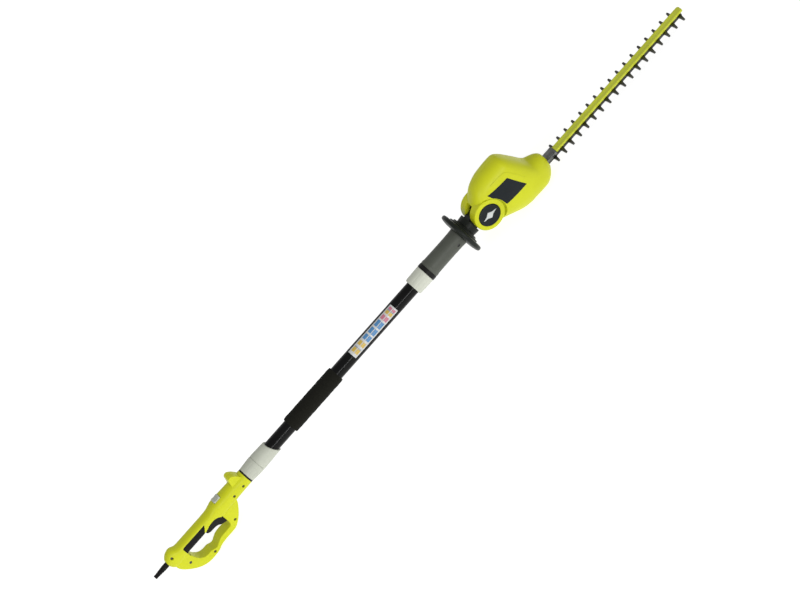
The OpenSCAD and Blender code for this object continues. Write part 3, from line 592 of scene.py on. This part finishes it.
# As in section: x, half width, top, bottom, widest height, squareness
grip = [17, 13.6, -16.5, -1.5, 2.8]
grip_stations = catmull([
    [-849, 9.4, 8.4, -10.6, -1, 2],
    [-847.5, 11.5, 11, -14.5, -1.5, 2.1],
    [-843.5, 15, 15, -20, -2, 2.2],
    [-836, 18, 19.8, -23, -1, 2.4],
    [-824, 19, 23.2, -24, 0, 2.4],
    [-816, 18.4, 20.2, -22.5, -0.5, 2.4],
    [-808, 17.5, 15, -19.5, -1.2, 2.5],
    [-797] + grip,
    [-775] + grip,
    [-745] + grip,
    [-720] + grip,
    [-700, 17.8, 14.6, -18.5, -1.5, 2.7],
    [-686, 19.6, 18.6, -20.5, -1.2, 2.6],
    [-675, 20.6, 20.8, -21, -1, 2.6],
    [-640, 20.5, 21, -20.5, 0, 2.4],
    [-610, 20.2, 21, -20, 0.4, 2.2],
    [-580, 20.3, 20.3, -20.3, 0, 2],
], 6)
loop_outer = catmull([
    [-841, -8], [-840.5, -24], [-834, -38.5], [-821, -55.5], [-806, -69.5], [-790, -77.8],
    [-776, -80.6], [-762, -80.6], [-747, -78.5], [-738, -74.5], [-727, -72], [-712, -71],
    [-692, -71], [-680, -68.5], [-667, -60], [-655, -49], [-645, -37], [-636, -24], [-630, -8],
], 4)
loop_inner = catmull([
    [-683.5, -8], [-683.5, -30], [-684, -44], [-687.5, -53.2], [-697, -55], [-712, -55],
    [-725, -56.5], [-736, -61.5], [-745, -66.5], [-753, -65], [-760, -61.5], [-774, -61],
    [-785, -56.5], [-793, -46], [-797, -33], [-800, -17], [-800, -8],
], 4)
# Cut away at both sides so that the trigger shows
scoop = [
    (-741, -42), (-741, -30), (-738, -16), (-730, -9), (-718, -4.5), (-703, -3), (-692, -6),
    (-686.5, -13), (-685, -24), (-685, -42),
]
hand_stop = rounded([
    (-622, 8), (-617, 20), (-614, 31), (-613, 36), (-609, 40.4), (-602, 41), (-594, 33),
    (-586.5, 18.6), (-586.5, 8),
], [1, 8, 5, 3, 3, 4, 8, 4, 1])
# x, z and how far the head of each screw lies from the middle plane
handle_screws = [
    (-832, 12, 14), (-812, -38, 14.5), (-757, -71.5, 12.5), (-670.5, -52, 12), (-630, 0, 17.5), (-599, 0, 17),
]


def side_slab(name, points, half, **rest):
    """A slab across the middle plane, its outline measured from the pole's axis."""
    return slab(name, [(x, z + AXIS_Z) for x, z in points], "xz", -half, half, **rest)


def insert_outline(play):
    """Side outline of the grip insert: straight on top, its front edge slanting back to the underside."""
    return [
        (-800 - play, -26), (-800 - play, 5), (-797, 7 + play), (-726 + play, 7 + play), (-730 + play, 2),
        (-744 + play, -17), (-748 + play, -26),
    ]


def make_handle():
    body = loft("handle", [section(s) for s in grip_stations])
    loop = side_slab("loop", loop_outer + loop_inner, LOOP_HALF, bevel=ROUND_EDGE, steps=5)
    boolean(body, loop, "UNION")
    stop = side_slab("stop", hand_stop, STOP_HALF, bevel=ROUND_EDGE, steps=5)
    boolean(body, stop, "UNION")
    # Window for the lock-off button, openings for the trigger
    boolean(body, box_tool(-673.2, -652.8, -8.9, 8.9, AXIS_Z + 6, AXIS_Z + 40))
    boolean(body, side_slab("tool", rounded(scoop, 4), THROUGH))
    boolean(body, box_tool(-740, -680.6, -12.5, 12.5, AXIS_Z - 45, AXIS_Z - 5))
    # Shallow bed of the grip insert
    region = side_slab("region", insert_outline(0.25), THROUGH)
    boolean(region, loft("inside", [section(s, wall=COVER_GROOVE) for s in grip_stations]))
    boolean(body, region)
    # Inside of the barrel, the spigot's mouth and the cord guard's hole
    inner_stations = [s for s in grip_stations if -843 < s[0] < -590]
    boolean(body, loft("hollow", [section(s, wall=HANDLE_WALL) for s in inner_stations]))
    boolean(body, rod_tool("x", (0, 0, AXIS_Z), 16.3, -595, -575))
    boolean(body, rod_tool("x", (0, 0, AXIS_Z - 1), 6.9, -855, -838))
    for x, z, y in handle_screws:
        boolean(body, rod_tool("y", (x, 0, z + AXIS_Z), SCREW_HOLE_R, -40, 1.6 - y, 32))
    nodes = {"left": "handle_shell_left", "right": "handle_shell_right"}
    split(body, "handle_cover", lime, "pole_unit", nodes)


def make_insert():
    proud = [[x, half + 0.2, top, low - 0.2, mid, square] for x, half, top, low, mid, square in grip_stations]
    skin = loft("grip_pad", [section(s) for s in proud])
    region = side_slab("region", rounded(insert_outline(0), [0, 2, 1.5, 1.5, 2, 3, 0]), THROUGH)
    boolean(skin, region, "INTERSECT")
    boolean(skin, loft("core", [section(s, wall=PAD_DEPTH) for s in grip_stations]))
    paint(skin, soft, 32)
    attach(skin, "pole_unit")
    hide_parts("grip_insert")


make_handle()
make_insert()

TRIGGER_HALF = 12
trigger_outline = [
    (-737, -14), (-736.5, -21), (-729, -25), (-714, -25.5), (-706, -27.5), (-700, -33), (-694, -36.5),
    (-688, -38.5), (-682.6, -39), (-681.9, -34), (-681.9, -9), (-685, -5), (-690, -4), (-697, -7.6),
    (-703, -7.6), (-725, -11.6), (-734, -13),
]


def make_trigger():
    lever = side_slab(
        "trigger_lever", rounded(trigger_outline, 3.0, 5), TRIGGER_HALF, material=black, bevel=2.2, steps=5,
        body="trigger", slot="black_plastic",
    )
    # Room for the switch's plunger
    boolean(lever, box_tool(-735, -721, -5, 5, AXIS_Z - 14.6, AXIS_Z))
    paint(lever, black, 40)
    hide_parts("trigger")


make_trigger()

LOCK_X = -663
LOCK_HALF_X, LOCK_HALF_Y = 9.8, 8.5


def rectangle(x0, x1, half):
    return [(x0, -half), (x1, -half), (x1, half), (x0, half)]


def make_lock_off():
    outline = rounded(rectangle(LOCK_X - LOCK_HALF_X, LOCK_X + LOCK_HALF_X, LOCK_HALF_Y), 2.5, 5)
    key = slab("lock_off_key", outline, "xy", AXIS_Z + 12, AXIS_Z + 24.4, pale_low, 1.0, 3)
    # Hollow for the thumb, with five ridges across it
    boolean(key, rod_tool("y", (LOCK_X, 0, AXIS_Z + 43), 20, -20, 20, 96))
    for k in range(-2, 3):
        ridge = rod_tool("y", (LOCK_X + 3 * k, 0, AXIS_Z + 22.9 + 0.35 * abs(k)), 0.55, -6.2, 6.2, 16)
        boolean(key, ridge, "UNION")
    paint(key, pale_low, 35)
    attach(key, "lock_off_button")
    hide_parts("lock_off_button")


make_lock_off()

BOOT_REAR, BOOT_FRONT = -888, -866
BOOT_RING = 3.2
BOOT_STEPS = 56


def boot_wave(a, place, r):
    """Slots round the flexible part, two to a ring, a quarter turn on from ring to ring."""
    if r < 4.4 or place > BOOT_FRONT or place < BOOT_REAR:
        return r
    ring = int((place - BOOT_REAR) // BOOT_RING)
    across = abs(math.sin(a + (ring % 2) * math.pi / 2)) > 0.35
    return r - 1.1 if across and (place - BOOT_REAR) % BOOT_RING > 1.9 else r


def make_boot():
    taper = [(BOOT_REAR + 0.4 * k, 5.0 + 1.75 * k / BOOT_STEPS) for k in range(BOOT_STEPS + 1)]
    rear = [(-892, 3.6), (-892, 4.5), (-891.4, 4.9)]
    front = [(-864, 6.75), (-850, 6.75), (-840.6, 6.7), (-840.6, 8.8), (-838.2, 8.8), (-838, 3.6)]
    boot = turned(
        "guard_boot", rear + taper + front, soft, centre=(0, 0, AXIS_Z - 1), wave=boot_wave,
        body="pole_unit", slot="soft_black",
    )
    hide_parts("cord_guard")


make_boot()

# ---------- Pole and couplings ----------

NUT_GROOVES = 12
NUT_SEGMENTS = 192


def grip_wave(low, high, floor_r):
    """Grooves along a nut's outside between two places, running out at both ends."""
    def wave(a, place, r):
        if r < floor_r or not low < place < high:
            return r
        fade = min(1, (place - low) / 3, (high - place) / 3)
        return r - 0.5 * fade * max(0, math.cos(NUT_GROOVES * a)) ** 6
    return wave


def stretched(profile, step=1.5):
    """The same closed outline with its long edges divided, so that a wave can shape them."""
    out = []
    for (a, r), (b, q) in zip(profile, profile[1:] + profile[:1]):
        count = max(1, int(math.hypot(b - a, q - r) / step))
        out += [(a + (b - a) * k / count, r + (q - r) * k / count) for k in range(count)]
    return out


def make_nut(name, profile, radii, material, wave, body):
    outline = stretched(rounded(profile, radii))
    nut = turned(name, outline, material, seg=NUT_SEGMENTS, wave=wave, body=body, slot="grey_plastic")
    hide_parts(body)


make_nut(
    "nut_lower", [(-575.7, 18.8), (-575.7, 20.2), (-548, 22.3), (-539.3, 22.5), (-539.3, 18.8)],
    [0, 1.2, 8, 1.0, 0], pale_low, grip_wave(-572, -545, 19.2), "lower_nut",
)


def make_sleeve():
    profile = [
        (-575, 17.05), (-575, 18.4), (-539.4, 18.4), (-539, 21.8), (-534, 22.5), (-500, 21.3),
        (-470, 20.1), (-470, 17.05),
    ]
    outline = rounded(profile, [0, 0.5, 0, 0.8, 6, 10, 0, 0])
    sleeve = turned("socket_sleeve", outline, pale_low, body="pole_unit", slot="grey_plastic")
    # Its front end is cut off at a slant
    slant = 40 * math.tan(math.radians(25))
    cut = [(-487.5 + slant, -40), (-440, -40), (-440, 40), (-487.5 - slant, 40)]
    boolean(sleeve, side_slab("tool", cut, 40))
    soften(sleeve, 35)
    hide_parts("lower_socket")


make_sleeve()
make_nut(
    "nut_upper", [(1.4, 17.4), (1.4, 22.6), (14, 23.3), (44.3, 24), (44.3, 20.8), (29, 20.8), (29, 17.4)],
    [0, 1.4, 8, 1.2, 0, 0, 0], pale, grip_wave(6, 38, 21.5), "upper_nut",
)

FOAM_REAR, FOAM_FRONT = -424, -264
FOAM_R = 21.5
FOAM_BORE = 17.02


def foam_wave(a, place, r):
    """Softened ends and a slight unevenness of the outside."""
    if r < 18:
        return r
    soft_end = min(1, (place - FOAM_REAR) / 9, (FOAM_FRONT - place) / 9)
    ripple = 0.16 * math.sin(place * 0.41 + 2.1 * math.sin(a)) + 0.12 * math.sin(place * 0.17 + 3 * a)
    return r - 1.0 * (1 - max(0, soft_end)) ** 2 + ripple - 0.25


def make_foam_grip():
    profile = [(FOAM_REAR, FOAM_BORE), (FOAM_REAR, FOAM_R), (FOAM_FRONT, FOAM_R), (FOAM_FRONT, FOAM_BORE)]
    outline = stretched(rounded(profile, [0, 3.2, 3.2, 0], 6), 2.0)
    grip_foam = turned("foam_sleeve", outline, foam, seg=120, wave=foam_wave, body="pole_unit", slot="foam")
    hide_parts("foam_grip")


make_foam_grip()

# ---------- Neck and hand guard ----------

TONGUE_SLOT_HALF = 11.3
COLLAR_REAR = 183


def make_neck():
    profile = [
        (55.1, 15.2), (55.1, 23.5), (58.5, 24.2), (63, 24.2), (66, 23.2), (120, 22.8), (150, 23.2),
        (159.8, 24.2), (159.8, 18), (183.2, 18), (183.2, 25.6), (200, 27), (200, 15.2),
    ]
    neck = turned("neck", rounded(profile, [0, 0.6, 0.8, 0.8, 2, 20, 8, 0.6, 0, 0, 0.8, 1.2, 0]))
    # Opening for the tilt tongue, recess of the screw
    mouth = (-TONGUE_SLOT_HALF, TONGUE_SLOT_HALF, AXIS_Z - 17.5, AXIS_Z + 17.5)
    boolean(neck, box_tool(196, 203, *mouth))
    boolean(neck, rod_tool("y", (143, 0, AXIS_Z), SCREW_HOLE_R, -40, -18.6, 32))
    nodes = {"left": "neck_shell_left", "right": "neck_shell_right"}
    halves = split(neck, "neck_cover", neck_grey, "pole_unit", nodes)
    # The front collar is black
    for half in halves:
        half.data.materials.append(guard_black)
        for face in half.data.polygons:
            if face.center.x > COLLAR_REAR * MM:
                face.material_index = 1


def make_guard():
    profile = [
        (160, 18.1), (160, 40), (162, 52), (164, 56.5), (167, 58), (170, 58), (173, 56.5),
        (174.5, 52), (175, 41), (178, 40), (179, 34), (182, 33), (183, 30), (183, 18.1),
    ]
    outline = rounded(profile, [0, 4, 4, 1.5, 1.5, 1.5, 1.5, 3, 0.8, 0.8, 0.8, 0.8, 0.8, 0])
    disc = turned("guard_disc", outline, guard_black, seg=128, body="pole_unit", slot="black_plastic")
    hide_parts("hand_guard")


make_neck()
make_guard()

# ---------- Head ----------

HEAD_WALL = 3
HEAD_POINTS = 96
PIVOT_SEGMENTS = 128
EAR_R, EAR_HALF = 40, 34
NEAR_AXIS = 0.02
pivot = (PIVOT_X, 0, AXIS_Z)
head_stations = catmull([
    [226, 30, 33, -33, 0, 2.3],
    [240, 34.5, 48, -40, 0, 2.4],
    [255, 38, 62, -49, 1, 2.5],
    [272, 41, 71, -58, 1, 2.5],
    [290, 43.5, 76, -68, 0, 2.5],
    [310, 45, 78, -78, -4, 2.5],
    [330, 45, 78.5, -82.2, -8, 2.6],
    [347, 44, 77, -82.8, -13, 2.6],
    [358, 43, 66, -83, -20, 2.6],
    [368, 41.5, 48, -83, -28, 2.6],
    [378, 39.5, 27, -83, -36, 2.6],
    [386, 37.5, 9, -83, -41, 2.6],
    [393, 35, -1, -82.5, -43, 2.5],
    [403, 31, -5, -78.5, -43, 2.4],
    [413, 25.5, -9, -71.5, -41, 2.3],
    [421, 18.5, -14.5, -62, -39, 2.2],
    [424.5, 13, -19, -55, -38, 2],
    [426, 8, -25, -48, -37, 2],
], 6)
head_screws = [
    (284, 58, 29), (355, 54, 27), (398, -21, 28), (404, -66, 23), (289, -56, 27.5), (262, 46, 29.5),
]


def pivot_turned(name, profile, material=None, **rest):
    """Turned about the tilt pivot; the outline starts and ends at the pivot's axis."""
    return solid_of_turn(name, profile[1:-1], material, axis="y", centre=pivot, **rest)


def cut_tongue_slot(head):
    """Room for the tongue of the neck over the whole tilt, 45 degrees each way."""
    half_tongue, reach = 17.4, 60
    diagonal = math.sqrt(0.5)
    near, far = [((d - half_tongue) * diagonal, (d + half_tongue) * diagonal) for d in (23, reach)]
    upper = [near, far, (reach, far[1])]
    wedge = [(0, 0)] + upper + [(x, -z) for x, z in upper[::-1]]
    boolean(head, rod_tool("y", pivot, 30, -TONGUE_SLOT_HALF, TONGUE_SLOT_HALF, 96))
    boolean(head, side_slab("tool", [(PIVOT_X - x, z) for x, z in wedge], TONGUE_SLOT_HALF))


def head_core(wall, stations):
    return loft("core", [section(s, HEAD_POINTS, wall, -AXIS_Z) for s in stations])


def make_head():
    head = loft("head", [section(s, HEAD_POINTS, floor=-AXIS_Z) for s in head_stations])
    ear = [(-EAR_HALF, NEAR_AXIS), (-EAR_HALF, EAR_R), (EAR_HALF, EAR_R), (EAR_HALF, NEAR_AXIS)]
    boolean(head, pivot_turned("ear", rounded(ear, [0, 3.4, 3.4, 0], 6), seg=PIVOT_SEGMENTS), "UNION")
    cut_tongue_slot(head)
    # The housing stands clear of the rim of each pivot ear
    pocket = [(60, NEAR_AXIS), (60, 43.6), (30.5, 43.2), (30.5, 40.3), (34.2, 39.7), (34.2, NEAR_AXIS)]
    for sign in (-1, 1):
        profile = [(sign * y, r) for y, r in pocket]
        boolean(head, pivot_turned("tool", profile, seg=PIVOT_SEGMENTS))
    # Recesses of the button and the cap
    for low, high in ((-60, -25), (25, 60)):
        boolean(head, rod_tool("y", pivot, 29, low, high, 96))
    # Fine line round the flat of each side
    route = [(290, 56.8), (312, 57.5), (329, 56.5), (338, 52), (349, 34), (361, 3)]
    line = side_slab("tool", band(catmull(route, 6), 1.3), 60)
    boolean(line, head_core(0.8, head_stations[3:-3]))
    boolean(head, line)
    # Inside, the opening for the blades, and the recesses of the screws
    boolean(head, head_core(HEAD_WALL, [s for s in head_stations if 286 < s[0] < 421]))
    boolean(head, box_tool(410, 440, -14.6, 14.6, AXIS_Z - 57.4, AXIS_Z - 38.4))
    for x, z, y in head_screws:
        boolean(head, rod_tool("y", (x, 0, z + AXIS_Z), SCREW_HOLE_R, y - 1.4, 60, 32))
    nodes = {"left": "head_shell_left", "right": "head_shell_right"}
    split(head, "head_cover", lime, "head", nodes, 30)


make_head()

PLATE_STEPS = 24
PLATE_FACE, PLATE_BACK = 0.9, -0.6
PLATE_CLEAR = 44.5
# Rear and front corners in X and Z from the axis, along the lower and the upper edge
plate_low = ((288.5, -9), (352.5, -12))
plate_high = ((270, 44), (331, 41))


def between(p, q, t):
    return [a + (b - a) * t for a, b in zip(p, q)]


def plate(side):
    """Plain black side plate laid on the housing, its rear edge cut round the pivot ear."""
    n = PLATE_STEPS
    verts, faces = [], []
    for level in (PLATE_FACE, PLATE_BACK):
        for i in range(n + 1):
            for j in range(n + 1):
                u, v = i / n, j / n
                x, z = between(between(*plate_low, u), between(*plate_high, u), v)
                x = max(x, PIVOT_X + math.sqrt(max(0, PLATE_CLEAR ** 2 - z * z)) + u)
                edge = min(i, n - i, j, n - j)
                lift = level if level < 0 or edge > 0 else level - 0.45
                verts.append((x, side * (half_width(head_stations, x, z) + lift), z + AXIS_Z))
    back = (n + 1) ** 2

    def grid(i, j, top):
        return (0 if top else back) + i * (n + 1) + j

    for i in range(n):
        for j in range(n):
            faces.append((grid(i, j, 1), grid(i + 1, j, 1), grid(i + 1, j + 1, 1), grid(i, j + 1, 1)))
            faces.append((grid(i, j, 0), grid(i, j + 1, 0), grid(i + 1, j + 1, 0), grid(i + 1, j, 0)))
    for i in range(n):
        for j in (0, n):
            faces.append((grid(i, j, 1), grid(i + 1, j, 1), grid(i + 1, j, 0), grid(i, j, 0)))
            faces.append((grid(j, i, 1), grid(j, i + 1, 1), grid(j, i + 1, 0), grid(j, i, 0)))
    name = "side_plate_left" if side > 0 else "side_plate_right"
    return add_mesh(name, verts, faces, plate_black, "head", "black_plastic", 50)


for side in (1, -1):
    piece = plate(side)
    if side > 0:
        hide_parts("badges")

cap_outline = [
    (25.2, NEAR_AXIS), (25.2, 28.7), (34.0, 28.7), (35.2, 27.2), (35.6, 25.5), (35.1, 23.5), (34.9, 4),
    (34.9, NEAR_AXIS),
]
button_outline = [
    (-30.6, NEAR_AXIS), (-30.6, 28.4), (-34.0, 28.4), (-35.2, 27.2), (-35.6, 25.5), (-35.1, 23.5), (-34.9, 4),
    (-34.9, NEAR_AXIS),
]
cover_radii = [0, 0.3, 0.6, 0.6, 0.6, 0.6, 0, 0]
cap = pivot_turned(
    "pivot_cover", rounded(cap_outline, cover_radii, 3), black, body="head", slot="black_plastic"
)
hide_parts("pivot_cap")
button = pivot_turned(
    "tilt_key", rounded(button_outline, cover_radii, 3), plate_black, body="tilt_button", slot="black_plastic"
)
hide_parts("tilt_button")
mark = [(-22, 0), (-9, 3.0), (0, 9.5), (9, 3.0), (22, 0), (9, -3.0), (0, -9.5), (-9, -3.0)]
mark_outline = [(x + PIVOT_X, z + AXIS_Z) for x, z in rounded(mark, 1.2)]
slab(
    "tilt_mark", mark_outline, "xz", -35.25, -34.6, mark_white, 0.15, 2, body="tilt_button", slot="label_film"
)

# ---------- Blades ----------

TOOTH_PITCH, FIRST_TOOTH, TEETH = 25.5, 443.7, 18
# Half the width of the blade's back, tip of a tooth from the middle, half a tooth's width at its root and tip
BAR_HALF, REACH, ROOT, TIP = 10, 29.3, 4.6, 2.9
CRANK_X, YOKE_X, YOKE_Y = 349.5, 10.6, 17.0
BLADE_END, BLADE_T = 884, 3
UPPER_LOW, LOWER_LOW = AXIS_Z - 49.8, AXIS_Z - 53.0
GROUND_EDGE = 1.3


def tooth(side, x):
    shape = [
        (-ROOT - 1.2, BAR_HALF - 0.2), (-ROOT, BAR_HALF + 1.6), (-TIP, REACH - 1), (-TIP + 0.9, REACH),
        (TIP - 0.9, REACH), (TIP, REACH - 1), (ROOT, BAR_HALF + 1.6), (ROOT + 1.2, BAR_HALF - 0.2),
    ]
    return [(x + a, side * b) for a, b in shape]


def blade_outline():
    rear, front, yoke = CRANK_X - YOKE_X - 5, CRANK_X + YOKE_X + 5, YOKE_Y + 4
    right_edge = [p for i in range(TEETH) for p in tooth(-1, FIRST_TOOTH + TOOTH_PITCH * i)]
    left_edge = [p for i in range(TEETH - 1) for p in tooth(1, FIRST_TOOTH + TOOTH_PITCH * (i + 0.5))]
    end = [(BLADE_END - 1.8, -BAR_HALF), (BLADE_END, -8), (BLADE_END, 6), (BLADE_END - 6, BAR_HALF)]
    return (
        [(rear, -yoke), (front, -yoke), (front, -BAR_HALF)] + right_edge + end + left_edge[::-1]
        + [(front, BAR_HALF), (front, yoke), (rear, yoke)]
    )


def grind(blade, level):
    """Ground cutting edges: the long edges of the teeth on the face at one height."""
    b = bmesh.new()
    b.from_mesh(blade.data)
    edges = []
    for e in b.edges:
        p, q = (v.co / MM for v in e.verts)
        on_face = abs(p.z - level) < 0.01 and abs(q.z - level) < 0.01
        on_tooth = min(abs(p.y), abs(q.y)) > BAR_HALF + 1 and max(p.x, q.x) > 430
        if on_face and on_tooth and abs(p.y - q.y) > 3:
            edges.append(e)
    bmesh.ops.bevel(b, geom=edges, offset=GROUND_EDGE * MM, segments=1, affect="EDGES")
    b.to_mesh(blade.data)
    b.free()


def make_blade(name, low, ground, body):
    blade = slab(name, blade_outline(), "xy", low, low + BLADE_T)
    grind(blade, ground)
    # Yoke round the eccentric, slots for the bolts
    boolean(blade, box_tool(CRANK_X - YOKE_X, CRANK_X + YOKE_X, -YOKE_Y, YOKE_Y, low - 1, low + 4))
    for x in (415, 500, 620, 740, 860):
        hole = rounded(rectangle(x - 9, x + 9, 2.7), 2.7, 6)
        boolean(blade, slab("tool", hole, "xy", low - 1, low + 4))
    paint(blade, blade_steel, 20)
    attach(blade, body)
    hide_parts(body)


make_blade("blade_upper", UPPER_LOW, UPPER_LOW + BLADE_T, "upper_blade")
make_blade("blade_lower", LOWER_LOW, LOWER_LOW, "lower_blade")

BAR_TOP = AXIS_Z - 40.4


def make_bar():
    corners = [(455, -10), (890, -10), (892, -8), (892, 6), (888, 10), (455, 10)]
    outline = rounded(corners, [0, 3, 2, 4, 4, 0], 5)
    bar = slab("bar", outline, "xy", BAR_TOP - 6, BAR_TOP, None, 1.3, 4)
    # Long shallow panel pressed into the top
    panel = rounded(rectangle(462, 872, 5), 5, 6)
    boolean(bar, slab("tool", panel, "xy", BAR_TOP - 0.7, BAR_TOP + 2.4, bevel=0.3, steps=2))
    paint(bar, bar_green, 30)
    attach(bar, "head")
    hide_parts("guide_bar")


def make_foot():
    outline = rounded(rectangle(388, 454.8, 14), [0, 3, 3, 0], 4)
    foot = slab(
        "bar_foot", outline, "xy", AXIS_Z - 46.3, AXIS_Z - 39, foot_metal, 1.0, 3, body="head", slot="steel"
    )
    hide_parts("blade_bracket")
    clip = rounded(rectangle(431, 449, 11.5), 2, 4)
    slab(
        "foot_clip", clip, "xy", AXIS_Z - 39.05, AXIS_Z - 37.2, foot_metal, 0.5, 3, body="head", slot="steel"
    )


make_bar()
make_foot()

# ---------- Materials of the CAD pieces that stay ----------

kept = {
    steel: (
        "trigger_pin", "trigger_spring", "lock_off_spring", "tilt_pin", "tilt_button_spring", "motor_pinion",
        "bearings", "drive_gear", "crankshaft",
    ),
    zinc: ("handle_screws", "neck_screws", "head_screws", "case_screws", "blade_bolts"),
    inner: ("cord_clamp", "switch_unit", "suppressor", "contact_plugs", "contact_sockets", "motor_end_plate"),
    white: ("terminal_block", "cooling_fan"),
    cable: ("handle_cable", "pole_cable", "neck_cable", "motor_lead"),
    black: ("handle_spigot", "neck_collar"),
    tube: ("pole_tube",),
    label: ("pole_label",),
    coated: ("tilt_bracket",),
    brass: ("brush_holders",),
    carbon: ("carbon_brushes",),
    iron: ("stator", "armature"),
    copper: ("field_windings",),
    alloy: ("gear_case", "gear_tray"),
}
for material, names in kept.items():
    for name in names:
        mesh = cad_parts[name].data
        mesh.materials.clear()
        mesh.materials.append(material)

# ---------- Floor ----------

FLOOR_HALF, FLOOR_Z = 30, -0.0005
corners = [(x * FLOOR_HALF, y * FLOOR_HALF, FLOOR_Z) for x, y in ((-1, -1), (1, -1), (1, 1), (-1, 1))]
floor_mesh = bpy.data.meshes.new("floor")
floor_mesh.from_pydata(corners, [], [(0, 1, 2, 3)])
floor_mesh.materials.append(floor_material())
floor = bpy.data.objects.new("floor", floor_mesh)
scene.collection.objects.link(floor)
